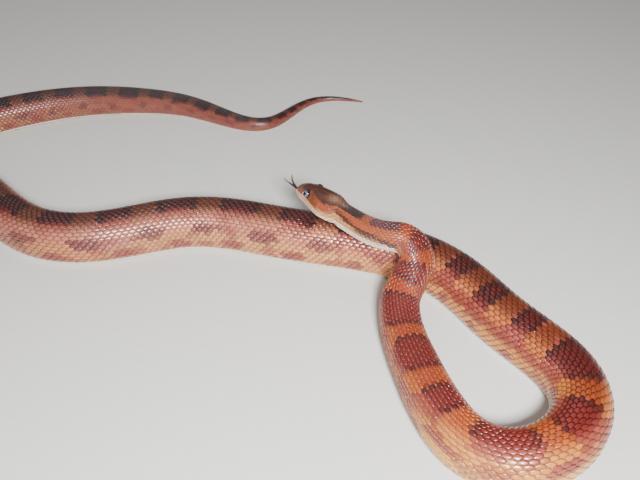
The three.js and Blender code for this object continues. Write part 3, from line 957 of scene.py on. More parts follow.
@dataclass
class Skin:
    """The one skin of head, jaw, body and tail, with the head's shields, lips, sockets and nostrils."""

    form: Form
    markings: Markings
    shields: HeadShields
    head_columns: int = 120
    body_columns: int = 30
    head_step: float = 0.165
    body_step: float = 2.6
    join: float = 5.0
    shield_raise: float = 0.2
    seam_width: float = 0.26
    mouth_depth: float = 0.55
    socket_depth: float = 1.1
    brow_height: float = 0.28
    nostril_depth: float = 0.75

    def head_rows(self) -> Array:
        """Distances of the head's rings, evenly spaced along its outline.

        Returns:
            The distances from the tip of the snout to the join with the body.
        """
        head = self.form.head
        x = head.length * np.sin(np.linspace(0, math.pi / 2, 4000))
        profile = np.stack([x, smooth(head.half_width, x) * head.share(x, 3)], axis=1)
        run = np.linalg.norm(np.diff(profile, axis=0), axis=1).sum()
        even = evenly(profile, int(run * head.scale / self.head_step))[::-1, 0]
        neck = np.arange(self.head_step, self.join, self.head_step * 1.6)
        return np.concatenate([-even[1:] * head.scale, neck])

    def relief(self, places: Array) -> tuple[Array, Array]:
        """Height of the head's fine forms.

        Args:
            places: rows of (x, y, z) in the head's frame.

        Returns:
            Heights in the head's own millimetres, and how near a shield's seam each place is.
        """
        head = self.form.head
        x, y, z = places.T
        depth = self.shields.depth(places)
        height = self.shield_raise * (1 - np.exp(-depth / self.seam_width)) + 0.03 * np.minimum(depth, 2)
        seam = np.where(depth > 0, np.exp(-depth / 0.16), 0.4)
        fade = ease(head.length - x, 0.05, 0.8)
        height = height * fade
        # The mouth's line, the lip over it and the notch that the tongue comes out of
        mouth = smooth(head.mouth, x)
        closed = ease(x, head.mouth_corner - 1, head.mouth_corner + 1.5)
        height -= self.mouth_depth * closed * bump(z, mouth, 0.2) * np.maximum(fade, 0.4)
        height += 0.12 * closed * bump(z, mouth + 0.75, 0.5) * fade
        height -= 0.6 * (ease(x, 31, 33) * bump(y, 0, 1.0) * bump(z, mouth, 0.75))
        for side in (1, -1):
            # A socket round the eye's ball, a brow over it, and the nostril
            axis = unit(np.array(head.gaze) * [1, side, 1])
            offset = places - np.array(head.eye) * [1, side, 1]
            out = offset @ axis
            radius = np.linalg.norm(offset - out[:, None] * axis, axis=1)
            near = out > 0
            sphere = np.sqrt(np.maximum(head.eye_radius**2 - radius**2, 0))
            rim = (1 - ease(radius, 2.15, 2.9)) * near
            height = height * (1 - rim) - rim * np.clip(out - sphere + 0.05, -0.2, 1.6)
            height -= (1 - ease(radius, 1.95, 2.15)) * near * self.socket_depth
            height += self.brow_height * (bump(radius, 3.0, 0.45) * ease(offset[:, 2], 0.3, 1.6) * near)
            span = np.linalg.norm(places - np.array(head.nostril) * [1, side, 1], axis=1)
            height += 0.14 * bump(span, 0.75, 0.25) - self.nostril_depth * bump(span, 0, 0.42)
        return height, seam

    def spread(self, rows: Array, columns: int) -> tuple[Array, Array, Array]:
        """Rings of the form, and where each of their points is.

        Args:
            rows: distances behind the head.
            columns: columns on each side of the middle of the back.

        Returns:
            The rings, and the distance and the share round the body of each point.
        """
        share = np.linspace(-1, 1, 2 * columns + 1)[:-1]
        return self.form.points(rows, columns)[:, :-1], np.repeat(rows, len(share)), np.tile(share, len(rows))

    def build(self) -> Piece:
        """Makes the skin's mesh, with its colours as an attribute.

        Returns:
            The piece.
        """
        form, head = self.form, self.form.head
        head_rows = self.head_rows()
        rings, rows, share = self.spread(head_rows, self.head_columns)
        around = (np.roll(rings, -1, axis=1) - np.roll(rings, 1, axis=1)) / 2
        outward = unit(np.cross(around, np.gradient(rings, axis=0))).reshape(-1, 3)
        points = rings.reshape(-1, 3)
        places = form.world_to_head(points)
        height, seam = self.relief(places)
        on_head = 1 - ease(rows, -4, 0)
        inset = -COAT_DEPTH * pitch(rows) * ease(rows, -12, 0)
        points = points + outward * ((height - self.shield_raise) * on_head * head.scale + inset)[:, None]
        tint = mix(self.bare(rows, share), self.markings.head(places, share, seam), on_head)
        gloss = on_head * (1 - 0.5 * seam)

        body_rows = np.arange(self.join + 1.2, form.course.length - 0.3, self.body_step)
        body_rings, rows, share = self.spread(body_rows, self.body_columns)
        body_out = form.read(form.outward, rows, share)
        body_points = body_rings.reshape(-1, 3) + body_out * (-COAT_DEPTH * pitch(rows))[:, None]
        body_tint = self.bare(rows, share)

        tip = form.head_to_world(np.array([[head.length, 0, head.tip_z]]))
        tail_tip = form.points(np.array([form.course.length]), 2)[0].mean(axis=0, keepdims=True)
        values = {
            "tint": np.vstack([tint, body_tint, tint[:1], body_tint[-1:]]),
            "gloss": np.concatenate([gloss, np.zeros(len(body_points)), [1, 0]]),
        }
        faces = self.faces(len(head_rows), len(body_rows))
        return mesh_object("snake_skin", np.vstack([points, body_points, tip, tail_tip]), faces, values)

    def bare(self, distance: Array, share: Array) -> Array:
        """Colour of the skin between the scales: darker in the pattern, greyer than the scales.

        Args:
            distance: distances behind the head.
            share: shares round the body.

        Returns:
            The linear colours.
        """
        colour, dark = self.markings.body(np.maximum(distance, 0), share)
        on_back = (1 - ease(np.abs(share), 0.3, 0.5)) * (1 - ease(distance, 180, 300))
        return paint(
            Palette.BARE,
            (Palette.BARE_DARK, np.clip(dark * 1.1, 0, 1)),
            (Palette.BARE_DARK, 0.5 * on_back),
            (colour, np.full(len(distance), 0.45)),
        )

    def faces(self, head_rings: int, body_rings: int) -> Faces:
        """Faces over all rings.

        Args:
            head_rings: rings of the head.
            body_rings: rings of the body.

        Returns:
            Vertex numbers of each face, turned outwards.
        """
        wide, narrow = 2 * self.head_columns, 2 * self.body_columns
        last, first = (head_rings - 1) * wide, head_rings * wide
        ratio = wide // narrow
        faces = ring_faces(0, head_rings, wide)
        for k in range(narrow):
            upper = [last + (k * ratio + m) % wide for m in range(ratio + 1)]
            faces.append([*upper, first + (k + 1) % narrow, first + k])
        faces += ring_faces(first, body_rings, narrow)
        end, tip = first + (body_rings - 1) * narrow, first + body_rings * narrow
        faces += [[(k + 1) % wide, k, tip] for k in range(wide)]
        faces += [[end + k, end + (k + 1) % narrow, tip + 1] for k in range(narrow)]
        return faces


def add_node(
    tree: bpy.types.NodeTree, kind: str, inputs: dict[int | str, object] | tuple = (), **settings: object
) -> Node:
    """Adds a node.

    Args:
        tree: the tree that it goes in.
        kind: the node's type.
        inputs: by socket name or number, or in the sockets' order: a value, or the socket or the node
            (its first output) that is linked there.
        settings: its properties by name.

    Returns:
        The node.
    """
    node = tree.nodes.new(kind)
    for key, value in settings.items():
        setattr(node, key, value)
    for key, value in inputs.items() if isinstance(inputs, dict) else enumerate(inputs):
        if isinstance(value, Node):
            value = value.outputs[0]
        if isinstance(value, Socket):
            tree.links.new(value, node.inputs[key])
        else:
            node.inputs[key].default_value = value
    return node


class RepeatTree:
    """Geometry Nodes that set one template on every point of a mesh, turned and sized by attributes.

    The points carry turn (a rotation), size (a vector), root_map (their place on the unwrap) and tint;
    the template carries leaf, its own small place, which makes each copy a patch of the bake map.
    """

    INPUTS = (
        ("Geometry", "Geometry", None),
        ("Template", "Object", None),
        ("Width", "Float", 1.0),
        ("Length", "Float", 1.0),
        ("Relief", "Float", 1.0),
        ("Variation", "Float", 0.04),
        ("Patch", "Float", 0.003),
        ("Seed", "Int", 1),
        ("Material", "Material", None),
    )

    def __init__(self) -> None:
        """Builds the tree."""
        self.tree = bpy.data.node_groups.new("set_scales", "GeometryNodeTree")
        self.sockets: dict[str, str] = {}
        for label, kind, value in self.INPUTS:
            socket = self.tree.interface.new_socket(label, in_out="INPUT", socket_type=f"NodeSocket{kind}")
            if value is not None:
                socket.default_value = value
            self.sockets[label] = socket.identifier
        self.tree.interface.new_socket("Geometry", in_out="OUTPUT", socket_type="NodeSocketGeometry")
        add = partial(add_node, self.tree)
        given = add("NodeGroupInput").outputs
        template = add("GeometryNodeObjectInfo", {"Object": given["Template"]}).outputs["Geometry"]
        factor = add("ShaderNodeCombineXYZ", (given["Width"], given["Length"], given["Relief"]))
        low = add("ShaderNodeMath", (1.0, given["Variation"]), operation="SUBTRACT")
        high = add("ShaderNodeMath", (1.0, given["Variation"]), operation="ADD")
        span = {"Min": low, "Max": high, "Seed": given["Seed"]}
        draw = add("FunctionNodeRandomValue", span, data_type="FLOAT_VECTOR")
        size = self.attribute("size", "FLOAT_VECTOR")
        sized = add("ShaderNodeVectorMath", (size, factor), operation="MULTIPLY")
        varied = add("ShaderNodeVectorMath", (sized, draw), operation="MULTIPLY")
        turn = self.attribute("turn", "QUATERNION")
        spots = {"Points": given["Geometry"], "Instance": template, "Rotation": turn, "Scale": varied}
        real = add("GeometryNodeRealizeInstances", (add("GeometryNodeInstanceOnPoints", spots),))
        leaf = {0: self.attribute("leaf", "FLOAT_VECTOR"), "Scale": given["Patch"]}
        patch = add("ShaderNodeVectorMath", leaf, operation="SCALE")
        root = self.attribute("root_map", "FLOAT_VECTOR")
        place = add("ShaderNodeVectorMath", (root, patch), operation="ADD")
        stored = {"Geometry": real, "Name": BAKE_MAP, "Value": place}
        mapped = add("GeometryNodeStoreNamedAttribute", stored, data_type="FLOAT2", domain="CORNER")
        dressed = add("GeometryNodeSetMaterial", {"Geometry": mapped, "Material": given["Material"]})
        add("NodeGroupOutput", (dressed,))

    def attribute(self, name: str, kind: str) -> Socket:
        """Output that reads a named attribute."""
        node = add_node(self.tree, "GeometryNodeInputNamedAttribute", {"Name": name}, data_type=kind)
        return next(s for s in node.outputs if s.name == "Attribute" and s.enabled)

    def apply(self, points: Piece, values: dict[str, object]) -> Piece:
        """Turns a mesh of points into one plain mesh of copies.

        Args:
            points: the object that carries the points; its mesh is replaced.
            values: the tree's inputs by name.

        Returns:
            The same object with its copies as its own mesh and no modifier.
        """
        modifier = points.modifiers.new("repeat", "NODES")
        modifier.node_group = self.tree
        for label, value in values.items():
            modifier[self.sockets[label]] = value
        graph = bpy.context.evaluated_depsgraph_get()
        graph.update()
        mesh = bpy.data.meshes.new_from_object(points.evaluated_get(graph), depsgraph=graph)
        points.modifiers.clear()
        old, points.data = points.data, mesh
        bpy.data.meshes.remove(old)
        mesh.name = points.name
        for key in ("turn", "size", "root_map"):
            if key in mesh.attributes:
                mesh.attributes.remove(mesh.attributes[key])
        mesh.polygons.foreach_set("use_smooth", np.ones(len(mesh.polygons), bool))
        return points


@dataclass(frozen=True)
class Leaf:
    """Template of a small overlapping scale, 1 long and 1 wide: low at its root, raised at its free tip."""

    corners: int = 10
    tilt: float = 0.115
    dome: float = 0.042
    keel: float = 0.012
    sunk: float = 0.1
    point: float = 1.6
    shoulder: float = 0.6

    def build(self) -> Piece:
        """Makes the template, which the copies are taken from and which is removed after them.

        Returns:
            The object, 1 metre long and wide.
        """
        n = self.corners
        a = 2 * np.pi * (np.arange(n) + 0.5) / n
        outline = 0.5 * np.stack([signed_power(v, 2 / self.point) for v in (np.cos(a), np.sin(a))], 1)
        rise = self.tilt * outline[:, 1]
        # The free edge, the shoulder of the dome, the keel's top and the hidden underside
        corners = np.vstack([
            np.column_stack([outline, rise]),
            np.column_stack([outline * self.shoulder, rise * self.shoulder + self.dome]),
            [[0, 0.02, self.dome + self.keel]],
            np.column_stack([outline * 0.9, rise - self.sunk]),
        ])
        reach = np.concatenate([np.ones(n), np.full(n, self.shoulder), [0], np.ones(n)])
        faces: Faces = []
        under = 2 * n + 1
        for k in range(n):
            m = (k + 1) % n
            faces += [[k, m, n + m, n + k], [n + k, n + m, 2 * n], [under + k, under + m, m, k]]
        faces.append([under + k for k in range(n)][::-1])
        leaf = np.column_stack([corners[:, :2], reach])
        return mesh_object("leaf_template", corners / MM, faces, {"leaf": leaf})


@dataclass(frozen=True)
class BellyPlate:
    """Template of a belly scale for a body 1 wide: it spans the belly and turns up at its ends."""

    trunk: Trunk
    divided: bool
    thickness: float = 0.022
    columns: int = 9
    samples: int = 240
    split: float = 0.012

    def half(self) -> Array:
        """Points (across, up) from the belly's middle to the plate's end, on the outer surface."""
        start = int(self.samples * (VENTRAL_EDGE - 0.012))
        return evenly(self.trunk.outline(self.samples + 1)[start:][::-1], self.columns)

    def build(self) -> Piece:
        """Makes the template, as one plate or as a pair that meet in the middle.

        Returns:
            The object, in metres for a body 1 m wide.
        """
        right = self.half()
        left = (right * [-1, 1])[::-1]
        pair, whole = [left - [self.split, 0], right + [self.split, 0]], [np.vstack([left, right[1:]])]
        points, faces, leaf = [], [], []
        for strip in pair if self.divided else whole:
            inner, front = strip * (1 - 2.2 * self.thickness), strip * (1 - 0.9 * self.thickness)
            n, start = len(strip), sum(len(p) for p in points)
            # Points, place along and nearness to the rim: front edge, short of the rear edge, rear edge, and
            # the hidden side
            hidden = ((inner, 0.58, 1.0), (inner, -0.62, 1.0))
            layers = ((front, -0.62, 0.9), (strip, 0.48, 0.6), (strip, 0.58, 1.0), *hidden)
            rows = [start + i * n for i in range(len(layers))]
            for layer, y, edge in layers:
                points.append(np.column_stack([layer[:, 0], np.full(n, y), layer[:, 1]]))
                leaf.append(np.column_stack([layer[:, 0], np.full(n, y), np.full(n, edge)]))
            for a, b in zip(rows, rows[1:] + rows[:1]):
                faces += [[a + k + 1, a + k, b + k, b + k + 1] for k in range(n - 1)]
            faces += [rows[::-1], [row + n - 1 for row in rows]]
        return mesh_object("belly_template", np.vstack(points) / MM, faces, {"leaf": np.vstack(leaf)})


def unwrap(distance: Array, arc: Array, low: float, high: float) -> Array:
    """Place of each point on an unwrap of a length of the skin, laid out as two strips in the unit square.

    Args:
        distance: distances behind the head.
        arc: distances round the body from the middle of the back.
        low: where the length of skin begins.
        high: where it ends.

    Returns:
        Rows of (u, v, 0).
    """
    half = (high - low) / 2
    strip = distance > low + half
    tall = 2.0 * np.abs(arc).max() + 6
    margin, scale = 0.02, 0.96 / max(half, 2 * tall)
    u = margin + (distance - low - strip * half) * scale
    v = margin + (arc + tall / 2 + strip * tall) * scale
    return np.column_stack([u, v, np.zeros(len(u))])


@dataclass
class Coat:
    """The small overlapping scales of the back, the flanks, the throat and the back of the head."""

    form: Form
    markings: Markings
    shields: HeadShields
    edges: tuple[float, ...] = (-40.0, 130.0, 370.0, 610.0, 850.0, 1240.0)
    most_rows: int = 40
    length_share: float = 1.38
    width_share: float = 1.25
    head_row_end: float = 24.0
    head_inset: float = 0.16
    variation: float = 0.05
    patch: float = 0.003
    seed: int = 11

    def places(self) -> tuple[Array, Array]:
        """Places of the scales in slanting rows.

        Returns:
            The distance behind the head and the share round the body of each.
        """
        end = self.form.course.length
        station = stepped(self.form.tip + 6, end - 1)
        distances, shares = [], []
        for row in range(-self.most_rows, self.most_rows + 1):
            distance = station + (row % 2) * pitch(station) / 2
            share = row * ROW_SHARE * pitch(distance) / (self.form.round_girth(distance) / 2)
            edge = np.where(distance < -1, 0.995, VENTRAL_EDGE - 0.02)
            keep = (np.abs(share) < edge) & (distance < end - 0.8)
            distances.append(distance[keep])
            shares.append(share[keep])
        return np.concatenate(distances), np.concatenate(shares)

    def clear_of_plates(self, points: Array, reach: Array) -> NDArray[np.bool_]:
        """Which scales of the head keep clear of its shields, mouth and eyes.

        Args:
            points: the scales' middles in the shared frame.
            reach: half the size of each.

        Returns:
            True for each scale that stays.
        """
        head = self.form.head
        places = self.form.world_to_head(points)
        x, y, z = places.T
        keep = (x < self.head_row_end) & ~((x > 19.5) & (z > -2.4))
        keep &= ~((np.abs(z - smooth(head.mouth, x)) < 0.9) & (x > head.mouth_corner) & (np.abs(y) > 2))
        steps = 0.5 * np.vstack([np.zeros(3), np.eye(3), -np.eye(3)])
        for step in steps:
            keep &= self.shields.depth(places + step * reach[:, None]) < 0.12
        return keep | (x < -0.5)

    def build(self, tree: RepeatTree, material: Material) -> list[Piece]:
        """Makes the coat in a few pieces from head to tail.

        Args:
            tree: the tree that sets the copies.
            material: the scales' material.

        Returns:
            The pieces.
        """
        form = self.form
        distance, share = self.places()
        points, spacing = form.read(form.grid, distance, share), pitch(distance)
        keep = distance >= 0
        keep[~keep] = self.clear_of_plates(points[~keep], 0.6 * spacing[~keep])
        distance, share, points, spacing = distance[keep], share[keep], points[keep], spacing[keep]
        outward = unit(form.read(form.outward, distance, share))
        along = form.read(form.along, distance, share)
        along = unit(along - (along * outward).sum(1, keepdims=True) * outward)
        draw = np.random.default_rng(self.seed)
        sway = draw.normal(0, 0.03, len(distance))[:, None]
        across = np.cross(along, outward)
        along, across = unit(along + sway * across), unit(across - sway * along)
        stretch = np.clip(form.read(form.stretch, distance, share), 0.4, 1.25)
        on_head = 1 - ease(distance, -4, 2)
        length = spacing * (self.length_share - 0.14 * on_head) * np.where(on_head > 0, 1, stretch)
        slender = 1 - 0.17 * ease(distance, 25, 45) * (1 - ease(distance, 150, 220)) - 0.1 * on_head
        width = spacing * ROW_SHARE * self.width_share * slender
        sunk = COAT_DEPTH * spacing * ease(distance, -12, 0) + self.head_inset * on_head
        points = points - outward * sunk[:, None]
        tint = self.markings.anywhere(distance + 0.1 * length, share)
        tint = tint * draw.normal(1, 0.055, (len(distance), 1)) * draw.normal(1, 0.015, (len(distance), 3))
        tint = np.clip(tint, 0, 1)
        arc = share * form.round_girth(distance) / 2
        template = Leaf().build()
        given = {"Template": template, "Variation": self.variation, "Patch": self.patch, "Material": material}
        pieces = []
        for number, (low, high) in enumerate(zip(self.edges[:-1], self.edges[1:]), 1):
            here = (distance >= low) & (distance < high)
            values = {
                "turn": quaternions(across[here], along[here], outward[here]),
                "size": np.column_stack([width, length, spacing * self.length_share])[here] * MM,
                "root_map": unwrap(distance[here], arc[here], low, high),
                "tint": tint[here],
            }
            piece = mesh_object(f"scales_{number}", points[here], [], values)
            given["Seed"] = self.seed + number
            pieces.append(tree.apply(piece, given))
        bpy.data.objects.remove(template)
        return pieces


@dataclass
class BellyPlates:
    """The wide plates across the belly, and the paired ones under the tail."""

    form: Form
    start: float = 2.0
    tail_short: float = 3.0
    overlap: float = 1.12
    inset: float = 0.999
    patch: float = 0.01
    seed: int = 23

    def build(self, tree: RepeatTree, material: Material) -> list[Piece]:
        """Makes the belly's plates as one piece and the tail's as another.

        Args:
            tree: the tree that sets the copies.
            material: the plates' material.

        Returns:
            The two pieces.
        """
        end = self.form.course.length - self.tail_short
        rows = (("belly_plates", self.start, VENT, False), ("tail_plates", VENT, end, True))
        return [self.row(*row, tree, material) for row in rows]

    def row(
        self, name: str, low: float, high: float, divided: bool, tree: RepeatTree, material: Material
    ) -> Piece:
        """Makes one row of plates.

        Args:
            name: the piece's name.
            low: where the row begins, behind the head.
            high: where it ends.
            divided: True for plates in pairs.
            tree: the tree that sets the copies.
            material: the plates' material.

        Returns:
            The piece.
        """
        distance = stepped(low, high)[:-1]
        centre, back, left, up, width = self.form.sections(distance)
        draw = np.random.default_rng(self.seed)
        check = np.clip(draw.normal(0.15, 0.6, (len(distance), 3)), 0, 1) * ease(distance, 40, 110)[:, None]
        check[:, 2] = ease(distance, VENT - 5, VENT + 15)
        tint = np.array(linear(Palette.BELLY)) * draw.normal(1, 0.03, (len(distance), 1))
        across = width * self.inset
        values = {
            "turn": quaternions(left, back, up),
            "size": np.column_stack([across, pitch(distance) * self.overlap, across]) * MM,
            "root_map": unwrap(distance, np.full(len(distance), 10.0), low, high + 1),
            "tint": np.clip(tint, 0, 1),
            "check": check,
        }
        template = BellyPlate(self.form.trunk, divided).build()
        piece = mesh_object(name, centre, [], values)
        given = {"Template": template, "Variation": 0.0, "Patch": self.patch, "Seed": self.seed}
        tree.apply(piece, given | {"Material": material})
        bpy.data.objects.remove(template)
        return piece


@dataclass(frozen=True)
class Eye:
    """One eye: a ball with a slightly fuller front under the clear scale that covers it."""

    side: int
    rings: int = 48
    columns: int = 72
    bulge: float = 0.02

    def build(self, form: Form) -> Piece:
        """Makes the eye in its socket.

        Args:
            form: the form that carries it.

        Returns:
            The piece.
        """
        head, n = form.head, self.columns
        front = unit(np.array(head.gaze) * [1, self.side, 1])
        up = unit(np.array([0, 0, 1.0]) - front[2] * front)
        a = np.linspace(0, math.pi, self.rings + 1)[1:-1]
        b = np.linspace(0, 2 * math.pi, n, endpoint=False)
        ring = np.stack([np.cos(b), np.sin(b), np.zeros(n)], axis=1)
        rows = [np.sin(t) * ring + [0, 0, np.cos(t)] for t in a]
        local = np.vstack([*rows, [[0, 0, 1]], [[0, 0, -1]]])
        radius = head.eye_radius * (1 + self.bulge * bump(np.arccos(np.clip(local[:, 2], -1, 1)), 0, 0.6))
        axes = np.array([np.cross(up, front), up, front])
        places = np.array(head.eye) * [1, self.side, 1] + (local * radius[:, None]) @ axes
        tip = len(rows) * n
        last = tip - n
        faces = [[face[0], *face[:0:-1]] for face in ring_faces(0, len(rows), n)]
        faces += [[k, (k + 1) % n, tip] for k in range(n)]
        faces += [[last + (k + 1) % n, last + k, tip + 1] for k in range(n)]
        name = "eye_left_ball" if self.side > 0 else "eye_right_ball"
        return mesh_object(name, form.head_to_world(places), faces, {"gaze": local})


@dataclass(frozen=True)
class Tongue:
    """The forked tongue, out of the notch in the lips: a flat stem and two tapering tines."""

    # Places in the head's frame, and half widths at them
    stem: tuple[tuple[float, ...], ...] = (
        (28.9, 0, -1.85), (32, 0, -1.8), (35, 0, -1.7), (37, 0, -1.35), (38.3, 0, -0.95),
    )
    tine: tuple[tuple[float, ...], ...] = (
        (37.3, 0.45, -1.15), (38.8, 0.75, -0.75), (40.2, 1.2, -0.2), (41.6, 1.8, 0.4), (42.6, 2.5, 1),
        (43.2, 3.1, 1.9), (43.6, 3.7, 2.8),
    )
    stem_radii: tuple[float, ...] = (1.0, 1.02, 0.98, 0.92, 0.86)
    tine_radii: tuple[float, ...] = (0.62, 0.6, 0.55, 0.49, 0.42, 0.33, 0.22)
    stem_flat: float = 0.5
    tine_flat: float = 0.85
    rounded: float = 0.04
    rings: int = 49
    columns: int = 20

    def tube(self, centres: Array, radii: tuple[float, ...], flat: float) -> tuple[Array, Array]:
        """Tube that tapers to rounded ends.

        Args:
            centres: places along its middle in the head's frame.
            radii: half widths at those places.
            flat: thickness over width.

        Returns:
            The points of its rings, and each point's share of the way along.
        """
        at, t = np.linspace(0, 1, len(centres)), np.linspace(0, 1, self.rings)
        path = np.stack([smooth(tuple(zip(at, centres[:, k])), t) for k in range(3)], axis=1)
        to_end = np.minimum(t, 1 - t)
        round_end = np.sqrt(np.clip(1 - (1 - to_end / self.rounded) ** 2, 0.02, 1))
        radius = smooth(tuple(zip(at, radii)), t) * np.where(to_end < self.rounded, round_end, 1)
        along = unit(np.gradient(path, axis=0))
        sideways = unit(np.cross([0, 0.0, 1], along))
        up = np.cross(along, sideways)
        b = np.linspace(0, 2 * math.pi, self.columns, endpoint=False)[:, None]
        across, rise = np.cos(b), flat * np.sin(b)
        rings = [p + r * (across * s + rise * u) for p, r, s, u in zip(path, radius, sideways, up)]
        return np.vstack(rings), np.repeat(t, self.columns)

    def build(self, form: Form) -> Piece:
        """Makes the tongue.

        Args:
            form: the form whose head it belongs to.

        Returns:
            The piece.
        """
        tine = np.array(self.tine)
        tubes = (
            (0.0, self.tube(np.array(self.stem), self.stem_radii, self.stem_flat)),
            (1.0, self.tube(tine, self.tine_radii, self.tine_flat)),
            (1.0, self.tube(tine * [1, -1, 1], self.tine_radii, self.tine_flat)),
        )
        points = np.vstack([places for _, (places, _) in tubes])
        reach = np.concatenate([base + along for base, (_, along) in tubes])
        faces: Faces = []
        for start in range(0, len(points), self.rings * self.columns):
            faces += ring_faces(start, self.rings, self.columns)
            end = start + (self.rings - 1) * self.columns
            faces += [[start + k for k in range(self.columns)][::-1], [end + k for k in range(self.columns)]]
        return mesh_object("tongue_forked", form.head_to_world(points), faces, {"reach": reach})


@dataclass(frozen=True)
class Finish:
    """What every finish is: one principled shader, with patterns by place on the piece in metres."""

    NAME: ClassVar[str]

    def build(self) -> Material:
        """Makes the material.

        Returns:
            The material, with the sockets that the finish gives.
        """
        material = bpy.data.materials.new(self.NAME)
        material.use_nodes = True
        material.node_tree.nodes.clear()
        add = partial(add_node, material.node_tree)
        sockets = self.sockets(add, add("ShaderNodeTexCoord").outputs["Object"])
        add("ShaderNodeOutputMaterial", (add("ShaderNodeBsdfPrincipled", sockets),))
        return material

    def sockets(self, add: Adder, place: Socket) -> dict[str, object]:
        """Values and patterns of the shader's sockets.

        Args:
            add: adds a node to the material.
            place: gives the place on the piece.

        Returns:
            A value, a node or a socket by the name of the shader's socket.
        """
        raise NotImplementedError


def per_mm(size: float) -> float:
    """Scale of a pattern whose patches are a size in millimetres."""
    return 1 / (size * MM)


def set_stops(ramp: Node, stops: tuple[tuple[float, str], ...]) -> Node:
    """Gives a colour ramp its stops.

    Args:
        ramp: the ramp's node.
        stops: pairs of a position and a hex colour.

    Returns:
        The same node.
    """
    elements = ramp.color_ramp.elements
    while len(elements) < len(stops):
        elements.new(1.0)
    for element, (position, colour) in zip(elements, stops):
        element.position, element.color = position, (*linear(colour), 1)
    return ramp


@dataclass(frozen=True)
class ScaleKeratin(Finish):
    """Snake scale, grown as a thin plate of beta-keratin over pigmented skin.

    It gives the eye a satin, slightly oily gloss and fine pigment grains; each scale has painted shade at its
    rim and a faint painted highlight in its middle.
    """

    NAME = "snake_scale_keratin"
    roughness: float = 0.3
    # How dark the painted shade at each scale's rim is
    rim: float = 0.7
    grain_mm: float = 0.45  # pigment grains are near 0.02 mm; drawn coarser so that they show
    ripple_mm: float = 0.6

    def sockets(self, add: Adder, place: Socket) -> dict[str, object]:
        """Pigment by tint, with painted shade by leaf towards the rim, and a fine ripple.

        Args:
            add: adds a node to the material.
            place: gives the place on the piece.

        Returns:
            What each of the shader's sockets takes.
        """
        tint = add("ShaderNodeAttribute", attribute_name="tint").outputs["Color"]
        leaf = add("ShaderNodeAttribute", attribute_name="leaf").outputs["Vector"]
        to_rim = add("ShaderNodeSeparateXYZ", (leaf,)).outputs["Z"]
        grain = add("ShaderNodeTexNoise", {"Vector": place, "Scale": per_mm(self.grain_mm), "Detail": 2.0})
        pigment = add("ShaderNodeMapRange", (grain, 0.3, 0.7, 0.86, 1.12))
        # Painted shade and highlight: each scale darker towards its rim and a little lighter in its middle
        fade = (to_rim, 0.55, 1.0, 1.06, self.rim)
        shade = add("ShaderNodeMapRange", fade, interpolation_type="SMOOTHSTEP")
        level = add("ShaderNodeMath", (pigment, shade), operation="MULTIPLY")
        ripple = add("ShaderNodeTexNoise", {"Vector": place, "Scale": per_mm(self.ripple_mm), "Detail": 3.0})
        return {
            "Base Color": add("ShaderNodeVectorMath", {0: tint, "Scale": level}, operation="SCALE"),
            "Roughness": add(
                "ShaderNodeMapRange", (grain, 0.3, 0.7, self.roughness - 0.05, self.roughness + 0.09)
            ),
            "Normal": add("ShaderNodeBump", {"Strength": 0.25, "Distance": 0.12 * MM, "Height": ripple}),
            "IOR": 1.4, "Specular IOR Level": 0.85, "Specular Tint": (0.9, 0.93, 1.0, 1),
            "Coat Weight": 0.4, "Coat Roughness": 0.12,
        }


@dataclass(frozen=True)
class SnakeSkin(Finish):
    """Living snake skin with the head's keratin shields.

    Between the scales it is matt and finely creased; the shields have a satin gloss with fine pits.
    """

    NAME = "snake_skin"
    matt: float = 0.62
    satin: float = 0.34
    crease_mm: float = 0.35
    mottle_mm: float = 1.1

    def sockets(self, add: Adder, place: Socket) -> dict[str, object]:
        """Mottled colour by tint, gloss by gloss, and creases.

        Args:
            add: adds a node to the material.
            place: gives the place on the piece.

        Returns:
            What each of the shader's sockets takes.
        """
        tint = add("ShaderNodeAttribute", attribute_name="tint").outputs["Color"]
        gloss = add("ShaderNodeAttribute", attribute_name="gloss").outputs["Fac"]
        mottle = add("ShaderNodeTexNoise", {"Vector": place, "Scale": per_mm(self.mottle_mm), "Detail": 4.0})
        level = add("ShaderNodeMapRange", (mottle, 0.3, 0.7, 0.86, 1.12))
        crease = add("ShaderNodeTexNoise", {"Vector": place, "Scale": per_mm(self.crease_mm), "Detail": 4.0})
        return {
            "Base Color": add("ShaderNodeVectorMath", {0: tint, "Scale": level}, operation="SCALE"),
            "Roughness": add("ShaderNodeMapRange", (gloss, 0.0, 1.0, self.matt, self.satin)),
            "Normal": add("ShaderNodeBump", {"Strength": 0.3, "Distance": 0.1 * MM, "Height": crease}),
            "IOR": 1.48, "Coat Weight": 0.22, "Coat Roughness": 0.3, "Subsurface Weight": 0.0,
        }


